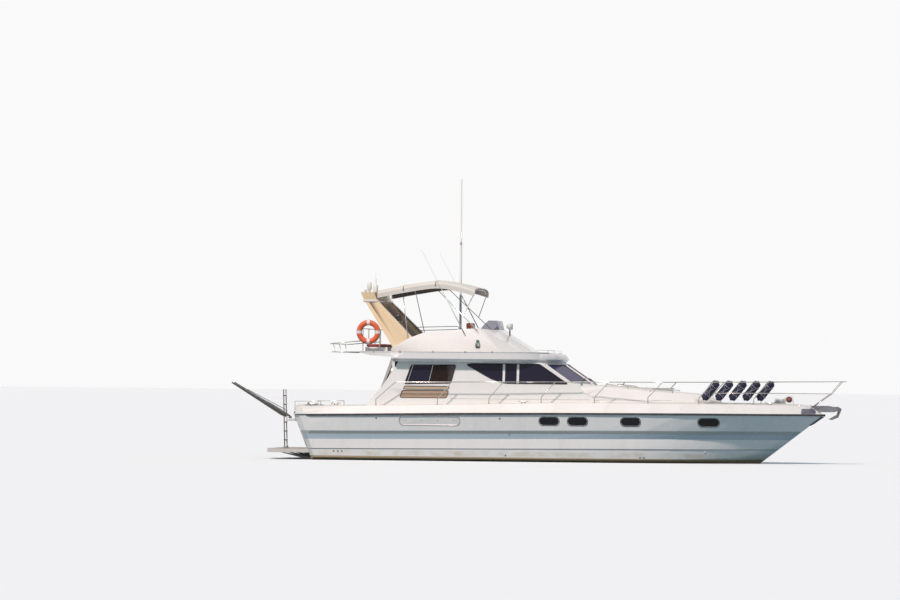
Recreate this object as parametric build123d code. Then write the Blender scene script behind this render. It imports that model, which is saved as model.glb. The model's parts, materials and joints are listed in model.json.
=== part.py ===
from build123d import *
import math
import os

os.makedirs("parts", exist_ok=True)

# Flybridge motor yacht, afloat. Millimetres. X runs to the bow, Y to port, Z up.
# The origin is on the waterline, midway along the hull.

# Driving dimensions.
TRANSOM_X = -8000
TRANSOM_RAKE = 0.40
PLATFORM_END_X = -8850
PLATFORM_TOP = 320
SOLE_TOP = 1100
SOLE_THICKNESS = 50
WELL_HALF = 1720
COCKPIT_AFT_X = -7620
BENCH_FRONT_X = -7150
BULKHEAD_X = -4950
BULKHEAD_THICKNESS = 80
DASH_X = 350
CABIN_WALL = 50
ROOF_UNDER = 2970
ROOF_TOP = 3280
BROW_HALF = 1950
COAMING_WALL = 55
RAIL_RADIUS = 15
SHAFT_OFFSET = 850
SHAFT_RADIUS = 22
FENDER_COUNT = 5
FENDER_PITCH = 395
FENDER_LENGTH = 730

# Hull stations. Each lies in a plane that leans from its keel point to its sheer point.
# keel x, keel z, chine y, chine z, spray y, spray z, knuckle y, knuckle z, sheer x, y, z
HULL_STATIONS = (
    (-8350, -600, 1980, 85, 2010, 330, 2120, 870, -8350, 2160, 1335),
    (-6000, -660, 2030, 85, 2065, 345, 2175, 885, -6000, 2250, 1370),
    (-3000, -710, 2050, 90, 2090, 370, 2200, 915, -3000, 2295, 1420),
    (0, -750, 2020, 95, 2070, 385, 2190, 930, 0, 2295, 1450),
    (2400, -730, 1790, 105, 1860, 395, 2020, 950, 2900, 2150, 1465),
    (3700, -650, 1370, 125, 1450, 402, 1660, 958, 4600, 1860, 1470),
    (4750, -490, 850, 185, 930, 408, 1150, 960, 6100, 1380, 1470),
    (5450, -270, 385, 275, 450, 410, 625, 950, 7100, 830, 1470),
    (6000, 0, 28, 360, 40, 412, 60, 940, 7900, 80, 1465),
)
SPRAY_STEP = 22
KNUCKLE_STEP = 50
GROOVE_DROP = 85
WAIST_DROP = 230

# Deck moulding stations: sheer x, y, z as on the hull, then deck edge x, y, z.
DECK_STATIONS = (
    (-8350, 2160, 1335, -8350, 2040, 1600),
    (-6000, 2250, 1370, -6000, 2110, 1630),
    (-3000, 2295, 1420, -3000, 2140, 1690),
    (0, 2295, 1450, 0, 2130, 1765),
    (2900, 2150, 1465, 2850, 1970, 1775),
    (4600, 1860, 1470, 4500, 1670, 1770),
    (6100, 1380, 1470, 5950, 1190, 1760),
    (7100, 830, 1470, 6850, 660, 1750),
    (7900, 80, 1465, 7560, 60, 1720),
)
DECK_CAMBER = 50
HULL_FAIRING = (1, 1, 1, 2, 2, 3, 3, 2)

# Rounded quarter of the transom: distance forward of it, half breadth.
QUARTER = ((1500, 2700), (900, 2320), (520, 2170), (290, 2060), (135, 1880), (45, 1600), (0, 1150))


def save(name, *pieces):
    solids = [solid for piece in pieces for solid in piece.solids()]
    export_step(Compound(solids), f"parts/{name}.step")


def largest(piece):
    return max(piece.solids(), key=lambda solid: solid.volume)


def between(table, x, x_column, column):
    """Straight interpolation of one column of a station table at a given x."""
    for low, high in zip(table, table[1:]):
        if x <= high[x_column]:
            share = (x - low[x_column]) / (high[x_column] - low[x_column])
            return low[column] + share * (high[column] - low[column])
    return table[-1][column]


def deck_edge(x):
    return between(DECK_STATIONS, x, 3, 4), between(DECK_STATIONS, x, 3, 5)


def faired(table, fairing):
    """Rows added between the stations along a smooth curve through them."""
    rows = []
    last = len(table) - 1
    for index, steps in zip(range(last), fairing):
        before = table[max(index - 1, 0)]
        start, end = table[index], table[index + 1]
        after = table[min(index + 2, last)]
        for step in range(steps):
            u = step / steps
            rows.append([
                b + u * (c - a) / 2 + u * u * (a - 2.5 * b + 2 * c - d / 2) + u**3 * (1.5 * (b - c) + (d - a) / 2)
                for a, b, c, d in zip(before, start, end, after)
            ])
    return rows + [list(table[last])]


def flat(points):
    return make_face(Polyline(*points, close=True))


def skin(a, b, c, d):
    """Flat faces that span four points: one where they lie in a plane, or else two, alike on both sides."""
    normal = (Vector(*b) - Vector(*a)).cross(Vector(*d) - Vector(*a))
    off_plane = (Vector(*c) - Vector(*a)).dot(normal)
    if abs(off_plane) < 1e-8 * normal.length:
        return [flat([a, b, c, d])]
    if a[1] + b[1] + c[1] + d[1] < 0:
        return [flat([a, b, d]), flat([b, c, d])]
    return [flat([a, b, c]), flat([a, c, d])]


def faceted(rings, closed=False):
    """Solid with flat faces between rings of points; closed joins the last ring to the first."""
    following = rings[1:] + rings[:1] if closed else rings[1:]
    faces = [] if closed else [flat(rings[0]), flat(rings[-1])]
    for low, high in zip(rings, following):
        for index in range(len(low)):
            after = (index + 1) % len(low)
            faces += skin(low[index], low[after], high[after], high[index])
    return Solid(Shell(faces))


def swept(points, travel):
    """Solid from a flat outline moved straight along a vector."""
    return extrude(flat(points), amount=Vector(*travel).length, dir=travel)


def side_plate(outline, y_low, y_high):
    """Outline in x and z, as seen from the side."""
    return swept([(x, y_low, z) for x, z in outline], (0, y_high - y_low, 0))


def plan_plate(outline, z_low, z_high):
    """Outline in x and y, as seen from above."""
    return swept([(x, y, z_low) for x, y in outline], (0, 0, z_high - z_low))


def end_plate(outline, x_low, x_high):
    """Outline in y and z, as seen from ahead."""
    return swept([(x_low, y, z) for y, z in outline], (x_high - x_low, 0, 0))


def block(x_low, x_high, y_low, y_high, z_low, z_high):
    centre = Pos((x_low + x_high) / 2, (y_low + y_high) / 2, (z_low + z_high) / 2)
    return centre * Box(x_high - x_low, y_high - y_low, z_high - z_low)


def circle_points(plane, radius, sides):
    turns = [2 * math.pi * (side + 0.5) / sides for side in range(sides)]
    corners = [Vector(radius * math.cos(turn), radius * math.sin(turn), 0) for turn in turns]
    return [plane.from_local_coords(corner) for corner in corners]


def bar(points, radius, sides=8):
    """Tube along straight runs with mitred corners, its round drawn as flat sides."""
    route = [Vector(*point) for point in points]
    runs = [(end - start).normalized() for start, end in zip(route, route[1:])]
    ring = circle_points(Plane(origin=route[0], z_dir=runs[0]), radius, sides)
    rings = [ring]
    for index, end in enumerate(route[1:]):
        along = runs[index]
        mitre = along + runs[index + 1] if index + 1 < len(runs) else along
        ring = [point + along * ((end - point).dot(mitre) / along.dot(mitre)) for point in ring]
        rings.append(ring)
    return faceted([[tuple(point) for point in ring] for ring in rings])


def turned(plane, profile, sides):
    """Solid turned about the plane's axis from (height, radius) pairs, its round drawn as flat sides."""
    rings = []
    for height, radius in profile:
        level = Plane(origin=plane.from_local_coords(Vector(0, 0, height)), x_dir=plane.x_dir, z_dir=plane.z_dir)
        rings.append([tuple(point) for point in circle_points(level, radius, sides)])
    return faceted(rings)


def pillar(x, y, z_low, z_high, radius, sides=12):
    return turned(Plane(origin=(x, y, 0)), ((z_low, radius), (z_high, radius)), sides)


def hoop(plane, radius, thickness, count, sides):
    """Closed ring about the plane's axis, with a thin many-sided section."""
    rings = []
    for index in range(count):
        turn = 2 * math.pi * (index + 0.5) / count
        ring = []
        for side in range(sides):
            a = 2 * math.pi * (side + 0.5) / sides
            reach = radius + thickness * math.cos(a)
            local = Vector(reach * math.cos(turn), reach * math.sin(turn), thickness * math.sin(a))
            ring.append(tuple(plane.from_local_coords(local)))
        rings.append(ring)
    return faceted(rings, closed=True)


def pin(centre, direction, radius, length):
    """True round pin, for hinges and shafts."""
    return Plane(origin=centre, z_dir=direction) * Cylinder(radius, length)


def mirrored(half):
    """Closed outline from its port half, given as (x, y)."""
    return half + [(x, -y) for x, y in reversed(half)]


def both_sides(piece):
    return [piece, mirror(piece, about=Plane.XZ)]


def joined(pieces):
    whole = pieces[0]
    for piece in pieces[1:]:
        whole = whole + piece
    return whole


def hipped_ring(faces, z_base, z, inset):
    """Corners at height z of leaning flat faces, given as (heading, reach at the base, lean, walled)."""
    lines = []
    for heading, reach, lean, walled in faces:
        turn = math.radians(heading)
        distance = reach - lean * (z - z_base) - walled * inset * math.hypot(1, lean)
        lines.append((math.cos(turn), math.sin(turn), distance))
    half = []
    for (a, b, c), (d, e, f) in zip(lines, lines[1:]):
        size = a * e - b * d
        half.append(((c * e - b * f) / size, (a * f - d * c) / size))
    return [(x, y, z) for x, y in mirrored(half)]


# Hull: one form from keel to sheer, through chine, spray step, waist and knuckle.
def hull_ring(row, inset=0):
    keel_x, keel_z, chine_y, chine_z, spray_y, spray_z, knuckle_y, knuckle_z = row[:8]
    sheer_x, sheer_y, sheer_z = row[8:]
    lean = (sheer_x - keel_x) / (sheer_z - keel_z)
    step = min(1, chine_y / 400)
    strake_y = spray_y + SPRAY_STEP * step
    groove_y = knuckle_y - KNUCKLE_STEP * step
    half = [
        (chine_y, chine_z),
        (spray_y, spray_z),
        (strake_y, spray_z + 14),
        (strake_y + 0.15 * (groove_y - strake_y), knuckle_z - WAIST_DROP),
        (groove_y, knuckle_z - GROOVE_DROP),
        (knuckle_y, knuckle_z),
        (sheer_y, sheer_z),
    ]
    half = [(max(y - inset, 10), z) for y, z in half]
    ring = [(0, keel_z)] + half + [(-y, z) for y, z in reversed(half)]
    return [(keel_x + lean * (z - keel_z), y, z) for y, z in ring]


def hull_body(inset=0):
    return faceted([hull_ring(row, inset) for row in faired(HULL_STATIONS, HULL_FAIRING)])


def transom_limit(transom_x, lean, z_low, z_high):
    """Everything forward of a raked transom with rounded quarters; transom_x is at z = 0."""
    start_x = transom_x + lean * z_low
    half = [(9500, 2700)] + [(start_x + forward, y) for forward, y in QUARTER]
    outline = [(x, y, z_low) for x, y in mirrored(half)]
    return swept(outline, (lean * (z_high - z_low), 0, z_high - z_low))


hull_form = hull_body()
transom_foot_x = TRANSOM_X + TRANSOM_RAKE * 1400
hull_trimmed = hull_form & transom_limit(transom_foot_x, -TRANSOM_RAKE, -900, 1700)


def deck_ring(row):
    sheer_x, sheer_y, sheer_z, edge_x, edge_y, edge_z = row
    lean = (edge_x - sheer_x) / (edge_z - sheer_z)
    half = [(sheer_y - 12, sheer_z), (edge_y, edge_z), (edge_y * 0.55, edge_z + DECK_CAMBER)]
    ring = half + [(-y, z) for y, z in reversed(half)]
    return [(sheer_x + lean * (z - sheer_z), y, z) for y, z in ring]


deck_rows = faired(DECK_STATIONS, HULL_FAIRING)
deck_form = faceted([deck_ring(row) for row in deck_rows])
deck_form = deck_form & transom_limit(TRANSOM_X - TRANSOM_RAKE * 1400, TRANSOM_RAKE, 1000, 2200)

well = block(COCKPIT_AFT_X, DASH_X, -WELL_HALF, WELL_HALF, SOLE_TOP - SOLE_THICKNESS, 1900)
engine_bay = block(-6900, -3100, -1300, 1300, -80, SOLE_TOP)
GATE_GAP_Y = (700, 1350)
gate_gap = block(-8300, COCKPIT_AFT_X + 10, *GATE_GAP_Y, SOLE_TOP - SOLE_THICKNESS, 1900)

# Long side windows of the lower cabins and the engine air intake: x low, x high.
HULL_WINDOWS = ((-380, 200), (470, 1050), (2050, 2620), (4320, 4920))
HULL_WINDOW_Z = (1110, 1340)
AIR_INTAKE = (-4600, -2790)
AIR_INTAKE_Z = (1090, 1340)
WINDOW_DEPTH = 30
PANE_SET_BACK = 12


def slot_outline(x_low, x_high, z_low, z_high, corner):
    """Rounded rectangle in x and z, each corner in two short edges."""
    outline = []
    for x_sign, z_sign, start in ((1, 1, 0), (-1, 1, 90), (-1, -1, 180), (1, -1, 270)):
        x = (x_low + x_high) / 2 + x_sign * ((x_high - x_low) / 2 - corner)
        z = (z_low + z_high) / 2 + z_sign * ((z_high - z_low) / 2 - corner)
        for angle in (start, start + 45, start + 90):
            turn = math.radians(angle)
            outline.append((x + corner * math.cos(turn), z + corner * math.sin(turn)))
    return outline


window_tools = [
    side_plate(slot_outline(low, high, *HULL_WINDOW_Z, 100), 1000, 2600) for low, high in HULL_WINDOWS
]
intake_tool = side_plate(slot_outline(*AIR_INTAKE, *AIR_INTAKE_Z, 100), 1900, 2600)
recess_floor = hull_body(WINDOW_DEPTH)
pane_face = hull_body(PANE_SET_BACK)
hull = hull_trimmed - well - engine_bay - gate_gap
for tool in window_tools + [intake_tool]:
    recess = tool - recess_floor
    hull = hull - recess - mirror(recess, about=Plane.XZ)
panes = [(tool & pane_face) - recess_floor for tool in window_tools]
save("hull", hull)
save("hull_windows", *[side for pane in panes for side in both_sides(pane)])
save("engine_vents", *both_sides((intake_tool & pane_face) - recess_floor))

# Deck moulding with its cockpit bench.
BENCH_SIDE = [(COCKPIT_AFT_X, SOLE_TOP), (COCKPIT_AFT_X, 1490), (BENCH_FRONT_X, 1490), (BENCH_FRONT_X, 1430), (BENCH_FRONT_X - 70, SOLE_TOP)]
bench = side_plate(BENCH_SIDE, -WELL_HALF, 640)
deck = largest(deck_form - well - gate_gap + bench)

# Rub rail: a flat band round the sheer from quarter to quarter, with a guard down the stem.
RUB_REACH = 38


def rub_ring(row):
    x, y, z = row[:3]
    half = [(y + RUB_REACH, z - 32), (y + RUB_REACH, z + 28)]
    return [(x, y, z) for y, z in half + [(-y, z) for y, z in reversed(half)]]


rub_band = faceted([rub_ring(row) for row in deck_rows[:-1] + [(7945, 30, 1465)]])
rub_band = rub_band & transom_limit(TRANSOM_X - 30, 0, 1000, 2200)
rub_rail = rub_band - hull_form - deck_form - block(-9000, -7000, -1950, 1950, 1000, 2000)
STEM_GUARD = [(7925, 1425), (7860, 1425), (7480, 1150), (7500, 1145), (7600, 1195)]
stem_guard = largest(side_plate(STEM_GUARD, -95, 95) - hull_form - rub_band)
save("rub_rail", *[solid for solid in rub_rail.solids() if solid.volume > 1e6], stem_guard)

# Soles and engine hatch, with the hatch's hinge knuckles on its forward edge.
ENGINE_HATCH = (-6700, -5600, -450, 450)
HATCH_GAP = 6
HATCH_HINGE = (-5603, 1106)
sole_low = SOLE_TOP - SOLE_THICKNESS
cockpit_sole = block(COCKPIT_AFT_X, BULKHEAD_X, -WELL_HALF, WELL_HALF, sole_low, SOLE_TOP)
gate_sill = block(-8300, COCKPIT_AFT_X, *GATE_GAP_Y, sole_low, SOLE_TOP) & hull_trimmed
cockpit_sole = cockpit_sole + gate_sill - block(*ENGINE_HATCH, 0, 2000)
x_low, x_high, y_low, y_high = ENGINE_HATCH
engine_hatch = block(
    x_low + HATCH_GAP, x_high - HATCH_GAP, y_low + HATCH_GAP, y_high - HATCH_GAP, sole_low, SOLE_TOP
)
for y in (-300, 300):
    engine_hatch = engine_hatch + block(-5690, HATCH_HINGE[0], y - 40, y + 40, SOLE_TOP - 2, SOLE_TOP + 4)
    engine_hatch = engine_hatch + pin((HATCH_HINGE[0], y, HATCH_HINGE[1]), (0, 1, 0), 5, 80)
save("cockpit_sole", cockpit_sole)
save("engine_hatch", engine_hatch)
save("saloon_sole", block(BULKHEAD_X, DASH_X, -WELL_HALF, WELL_HALF, sole_low, SOLE_TOP))
ENGINE_Y = 820
save("engines", *[block(-5300, -3800, y - 380, y + 380, -40, 850) for y in (-ENGINE_Y, ENGINE_Y)])

# Cabin: leaning flat sides and a windscreen of three panes.
# Face heading in degrees, reach from the origin at the base, lean, walled or open.
CABIN_FACES = ((180, 5800, 0, 0), (90, 1800, 0.142, 1), (22.3, 2016, 1.414, 1), (0, 1938, 1.47, 1))
CABIN_BASE_Z = 1700


def cabin_form(inset, z_low=1600, z_high=ROOF_UNDER):
    return faceted([hipped_ring(CABIN_FACES, CABIN_BASE_Z, z, inset) for z in (z_low, z_high)])


# Coachroof stations: x, half breadth at the deck, half breadth above, height.
COACHROOF_STATIONS = (
    (DASH_X, 1730, 1560, 2250),
    (1350, 1690, 1500, 2300),
    (2700, 1490, 1260, 2165),
    (3600, 1240, 990, 2110),
    (4450, 900, 640, 2010),
    (4800, 700, 520, 1840),
)


def coachroof_ring(row):
    x, foot, top, height = row
    half = [(foot, 1700), (top + 40, height - 90), (top - 80, height - 15), (top * 0.45, height + 18)]
    return [(x, y, z) for y, z in half + [(-y, z) for y, z in reversed(half)]]


coachroof_rows = faired(COACHROOF_STATIONS, (1, 2, 2, 2, 1))
coachroof = faceted([coachroof_ring(row) for row in coachroof_rows]) - deck_form
save("coachroof", coachroof)

# Outlines seen from the side, as (x, z).
WING_EDGE = [
    (-5800, 3100), (-4750, 3100), (-4760, 2960), (-4870, 2770), (-5230, 2220), (-5430, 2000), (-5670, 1675),
    (-5690, 1500), (-5800, 1500),
]
AFT_WINDOW = [(-4550, 2300), (-3140, 2330), (-3000, 2880), (-4360, 2870)]
FORWARD_WINDOW = [(-2690, 2890), (-1930, 2470), (-1580, 2355), (-1400, 2335), (400, 2335), (-480, 2925), (-2560, 2925)]
MULLIONS_X = (-1545, -1120)
MULLION_WIDTH = 70
CENTRE_PANE = [(-443, 2335), (443, 2335), (358, 2925), (-358, 2925)]
CORNER_PANE = [(543, 2335), (1610, 2375), (1520, 2925), (458, 2925)]
# Locker doors under the aft window: a strip and a framed panel.
LOCKER_OUTLINES = (
    [(-4590, 2145), (-3200, 2145), (-3180, 2235), (-4550, 2235)],
    [(-4675, 1890), (-3260, 1890), (-3210, 2110), (-4605, 2110)],
)
LOCKER_GAP = 5

side_openings = [side_plate(AFT_WINDOW, 1400, 2000), side_plate(FORWARD_WINDOW, 1400, 2000)]
for x in MULLIONS_X:
    side_openings[1] = side_openings[1] - block(x - MULLION_WIDTH / 2, x + MULLION_WIDTH / 2, 1300, 2100, 2200, 3000)
glass_skin = cabin_form(14) - cabin_form(24)
saloon_sides = cabin_form(0) - cabin_form(CABIN_WALL)
saloon_sides = saloon_sides - deck_form - coachroof - well - side_plate(WING_EDGE, -2500, 2500)
side_glass = []
for opening in side_openings:
    for tool in both_sides(opening):
        saloon_sides = saloon_sides - tool
        side_glass.append(glass_skin & tool)
screen_glass = []
for tool in [end_plate(CENTRE_PANE, -500, 1500)] + both_sides(end_plate(CORNER_PANE, -460, 1500)):
    saloon_sides = saloon_sides - tool
    screen_glass.append(glass_skin & tool)
locker_doors = []
for outline in LOCKER_OUTLINES:
    tool = side_plate(outline, 1500, 2000)
    recess = tool - cabin_form(20)
    middle_x = sum(x for x, z in outline) / len(outline)
    middle_z = sum(z for x, z in outline) / len(outline)
    door_outline = [
        (x + math.copysign(LOCKER_GAP, middle_x - x), z + math.copysign(LOCKER_GAP, middle_z - z)) for x, z in outline
    ]
    door = (side_plate(door_outline, 1500, 2000) & cabin_form(4)) - cabin_form(20)
    for side, door_side in zip(both_sides(recess), both_sides(door)):
        saloon_sides = saloon_sides - side
        locker_doors.append(door_side)
knob_frame = Plane(origin=(-3365, 1768, 1997), z_dir=(0, 1, 0))
knob = turned(knob_frame, ((-22, 14), (22, 14)), 8) - cabin_form(4)
locker_doors += both_sides(knob)
save("saloon_sides", *[solid for solid in saloon_sides.solids() if solid.volume > 1e6])
save("windscreen", *screen_glass)
save("side_lockers", *locker_doors)

# Aft bulkhead with a doorway, and the door that slides across behind it.
bulkhead_back = BULKHEAD_X + BULKHEAD_THICKNESS
DOOR_HALF = 420
bulkhead = cabin_form(CABIN_WALL) & block(BULKHEAD_X, bulkhead_back, -2000, 2000, 1700, ROOF_UNDER)
bulkhead = bulkhead + block(BULKHEAD_X, bulkhead_back, -WELL_HALF, WELL_HALF, SOLE_TOP, 1700)
bulkhead = bulkhead - block(BULKHEAD_X - 10, bulkhead_back + 10, -DOOR_HALF, DOOR_HALF, SOLE_TOP + 40, 2850)
bulkhead_panes = []
for gap in both_sides(block(BULKHEAD_X - 10, bulkhead_back + 10, 520, 1480, 1900, 2850)):
    bulkhead = bulkhead - gap
    bulkhead_panes.append(gap & block(BULKHEAD_X + 35, BULKHEAD_X + 45, -2000, 2000, 1000, 3000))
door_tracks = [
    block(BULKHEAD_X - 70, BULKHEAD_X, -460, 1500, 2880, 2920),
    block(BULKHEAD_X - 70, BULKHEAD_X, -460, 1500, SOLE_TOP, SOLE_TOP + 20),
]
save("aft_bulkhead", joined([bulkhead] + door_tracks))
save("saloon_side_glass", *side_glass, *bulkhead_panes)
door_frame = block(BULKHEAD_X - 50, BULKHEAD_X - 15, -450, 450, SOLE_TOP + 26, 2874)
door_frame = door_frame - block(BULKHEAD_X - 60, BULKHEAD_X - 5, -380, 380, SOLE_TOP + 100, 2800)
save("saloon_door", door_frame + block(BULKHEAD_X - 80, BULKHEAD_X - 50, -428, -402, 1900, 2200))
save("saloon_door_glass", block(BULKHEAD_X - 40, BULKHEAD_X - 30, -380, 380, SOLE_TOP + 100, 2800))

# Saloon furniture seen through the glass: helm console, settee, galley, tall locker, helm seat.
CONSOLE_SIDE = [(-330, SOLE_TOP), (-330, 1880), (-60, 2180), (DASH_X, 2230), (DASH_X, SOLE_TOP)]
dash = side_plate(CONSOLE_SIDE, -1690, 1690) & cabin_form(CABIN_WALL + 1)
dash = dash + side_plate([(-330, SOLE_TOP), (-330, 1600), (DASH_X, 1600), (DASH_X, SOLE_TOP)], -1690, 1690)
save("dash", dash)
SETTEE_END = [(-1700, SOLE_TOP), (-1150, SOLE_TOP), (-1120, 1480), (-1560, 1480), (-1620, 1900), (-1700, 1900)]
settee = end_plate(SETTEE_END, -4650, -2500)
galley = block(-4300, -3400, 1000, 1690, SOLE_TOP, 2000)
tall_locker = block(-3400, -3000, 1000, 1590, SOLE_TOP, 2700)
HELM_SEAT_SIDE = [
    (-1200, SOLE_TOP), (-1000, SOLE_TOP), (-1020, 1620), (-860, 1660), (-860, 1760), (-1180, 1760),
    (-1260, 2310), (-1340, 2310), (-1300, 1620), (-1180, 1620),
]
helm_seat = side_plate(HELM_SEAT_SIDE, -1150, -600)
save("saloon_furniture", settee, galley + tall_locker, helm_seat)

# Flybridge: brow and overhang in one moulding with the coaming and the helm console.
BROW_PLAN = [
    (-4950, 1930), (-4400, BROW_HALF), (-1500, BROW_HALF), (-1150, 1915), (-800, 1810), (-480, 1640), (-220, 1400),
    (-20, 1090), (90, 740), (145, 370),
]
BROW_EDGE = 90
BROW_NOSE = [(-500, 3290), (-80, 3225), (130, 3060), (160, 2960), (900, 2960), (900, 3400), (-500, 3400)]
BROW_TAIL = [(-5100, 2900), (-4830, 2930), (-4960, 3150), (-5100, 3150)]


def brow_ring(z, inset):
    """Brow outline at a height, drawn in by the inset on its side and front."""
    half = []
    for before, (x, y), after in zip(BROW_PLAN[:1] + BROW_PLAN, BROW_PLAN, BROW_PLAN[1:] + [(145, 0)]):
        run_x, run_y = after[0] - before[0], after[1] - before[1]
        size = math.hypot(run_x, run_y)
        half.append((x + inset * run_y / size, y - inset * run_x / size))
    return [(x, y, z) for x, y in mirrored(half)]


brow_levels = ((ROOF_UNDER, BROW_EDGE), (ROOF_UNDER + BROW_EDGE, 0), (ROOF_TOP, 0))
brow = faceted([brow_ring(z, inset) for z, inset in brow_levels])
brow = brow - side_plate(BROW_NOSE, -2500, 2500) - side_plate(BROW_TAIL, -2500, 2500)
OVERHANG_SIDE = [(-4940, 3120), (-4940, ROOF_TOP), (-5930, ROOF_TOP), (-5930, 3225), (-5600, 3150)]
LADDER_HATCH = (-5830, -5250, 700, 1350)
overhang = side_plate(OVERHANG_SIDE, -1700, 1700) - block(*LADDER_HATCH, 3000, 3400)

# Coaming faces: heading in degrees, reach from the origin at the roof, lean, walled or open.
COAMING_FACES = (
    (180, 4950, 0, 0),
    (90, 1780, 0.194, 1),
    (54.6, 494, 0.964, 1),
    (22.5, -479, 1.5, 1),
    (0, -780, 1.59, 1),
)
COAMING_SIDE = [
    (-4950, 3200), (-4950, 3370), (-4400, 3685), (-4000, 3835), (-2690, 3960), (-2250, 4000), (-2100, 3950),
    (-400, 3940), (-400, 3200),
]
FLY_CONSOLE_SIDE = [(-2150, ROOF_TOP - 5), (-2150, 3700), (-1700, 3920), (-1500, 3830), (-1200, ROOF_TOP - 5)]


def coaming_form(inset):
    return faceted([hipped_ring(COAMING_FACES, ROOF_TOP, z, inset) for z in (ROOF_TOP - 5, 4100)])


coaming = (coaming_form(0) - coaming_form(COAMING_WALL)) & side_plate(COAMING_SIDE, -2500, 2500)
console = side_plate(FLY_CONSOLE_SIDE, -900, 900) & coaming_form(COAMING_WALL - 1)
flybridge = joined([brow, overhang, coaming, console])
save("flybridge", flybridge)

# Wind deflector standing on the coaming: the same headings, nearly upright.
DEFLECTOR_FACES = ((180, 2300, 0, 0), (54.6, -170, 0.2, 1), (22.5, -1500, 0.25, 1), (0, -1860, 0.25, 1))
DEFLECTOR_SIDE = [(-2290, 3980), (-2110, 3940), (-1500, 3930), (-1500, 4235), (-2120, 4225)]


def deflector_form(inset):
    return faceted([hipped_ring(DEFLECTOR_FACES, 3940, z, inset) for z in (3920, 4260)])


deflector = (deflector_form(0) - deflector_form(10)) & side_plate(DEFLECTOR_SIDE, -2500, 2500)
save("wind_deflector", largest(deflector - flybridge))


# Steering wheels: rim, three spokes and a round boss.
def steering_wheel(rim_radius, hub, tilt):
    rim = hoop(Plane.XY, rim_radius, 14, 16, 4)
    spokes = [
        Rot(0, 0, angle) * Pos(rim_radius / 2, 0, 0) * Box(rim_radius, 22, 12) for angle in (90, 210, 330)
    ]
    boss = Pos(0, 0, -20) * Cylinder(32, 60)
    return Pos(*hub) * Rot(0, tilt, 0) * joined([rim, boss] + spokes)


save("flybridge_wheel", steering_wheel(190, (-2235, 450, 3720), -60))
save("saloon_wheel", steering_wheel(200, (-420, -850, 1930), -55))

# Flybridge seats and the bench on the overhang.
SEAT_BACK_SIDE = [(-2990, 3720), (-2840, 3720), (-2890, 4180), (-3000, 4180)]
seat_box = block(-2900, -2550, 250, 1080, ROOF_TOP, 3560)
fly_bench_box = block(-5800, -5120, -1450, 450, ROOF_TOP, 3400)
save("flybridge_seat_box", seat_box, fly_bench_box)
save("flybridge_seat_cushions", block(-2990, -2450, 180, 1250, 3560, 3720), side_plate(SEAT_BACK_SIDE, 180, 1250))
save("flybridge_bench_cushion", block(-5790, -5130, -1440, 440, 3400, 3490))

# Ladder from the cockpit to the hatch in the overhang.
STRINGER_SIDE = [(-6080, SOLE_TOP), (-5950, SOLE_TOP), (-5250, 3150), (-5250, ROOF_TOP), (-5320, ROOF_TOP)]
LADDER_Y = (820, 1230)
fly_ladder = [side_plate(STRINGER_SIDE, y - 15, y + 15) for y in LADDER_Y]
for tread in range(1, 8):
    z = SOLE_TOP + 265 * tread
    x = -6015 + 0.345 * (z - SOLE_TOP)
    fly_ladder.append(block(x - 52, x + 52, LADDER_Y[0], LADDER_Y[1], z - 30, z))
save("flybridge_ladder", joined(fly_ladder))


# Radar arch: two raked legs with a moulded channel outside and a sunk panel inside, and a bridge.
def leg_solid(foot, head, side):
    """Raked block from (x low, x high, y low, y high) at the foot to the same at the head."""
    rings = []
    for (x_low, x_high, y_low, y_high), z in ((foot, 3285), (head, 4815)):
        corners = ((x_low, y_low), (x_high, y_low), (x_high, y_high), (x_low, y_high))
        rings.append([(x, side * y, z) for x, y in corners])
    return faceted(rings)


arch_pieces = []
for side in (-1, 1):
    leg = leg_solid((-4845, -3940, 1584, 1744), (-5867, -5462, 1216, 1346), side)
    channel = leg_solid((-4640, -4220, 1732, 1800), (-5760, -5580, 1334, 1400), side)
    panel = leg_solid((-4760, -4040, 1500, 1594), (-5825, -5505, 1130, 1226), side)
    arch_pieces.append(leg - channel - panel)
ARCH_BRIDGE_SIDE = [(-5855, 4795), (-5975, 5050), (-5560, 5050), (-5475, 4795)]
arch_pieces.append(side_plate(ARCH_BRIDGE_SIDE, -1350, 1350))
radar_arch = joined(arch_pieces) - flybridge
save("radar_arch", radar_arch)

# On the arch: two domes, the tall one under a lamp and a short aerial, and a round lamp.
DOME_TALL_PROFILE = (
    (0, 72), (40, 80), (215, 83), (245, 60), (262, 28), (420, 28), (430, 7), (620, 5),
)
DOME_LOW_PROFILE = ((0, 30), (70, 32), (100, 62), (160, 72), (260, 70), (315, 48), (345, 16))
dome_tall = turned(Plane(origin=(-5700, -300, 5050)), DOME_TALL_PROFILE, 8)
dome_low = turned(Plane(origin=(-5885, -300, 5050)), DOME_LOW_PROFILE, 8)
round_lamp = turned(Plane(origin=(-5900, -900, 5050)), ((0, 20), (20, 20), (30, 52), (75, 55), (105, 25)), 10)
save("arch_equipment", dome_tall, dome_low, round_lamp)

# Bimini canvas stations: x, ridge height, half breadth.
BIMINI_STATIONS = (
    (-5470, 5145, 1262),
    (-4600, 5310, 1330),
    (-3690, 5435, 1370),
    (-3050, 5360, 1385),
    (-2500, 5210, 1400),
)
CANVAS_THICKNESS = 12


def canvas_ring(row):
    x, top, half = row
    outer = [(half, top - 260), (half, top - 110), (half - 160, top - 50), (half * 0.5, top)]
    inner = [(half - 12, top - 260), (half - 12, top - 122), (half - 165, top - 62), (half * 0.5, top - 12)]
    port = outer + [(-y, z) for y, z in reversed(outer)]
    lining = [(-y, z) for y, z in inner] + list(reversed(inner))
    return [(x, y, z) for y, z in port + lining]


save("bimini_canvas", faceted([canvas_ring(row) for row in BIMINI_STATIONS]))


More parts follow.
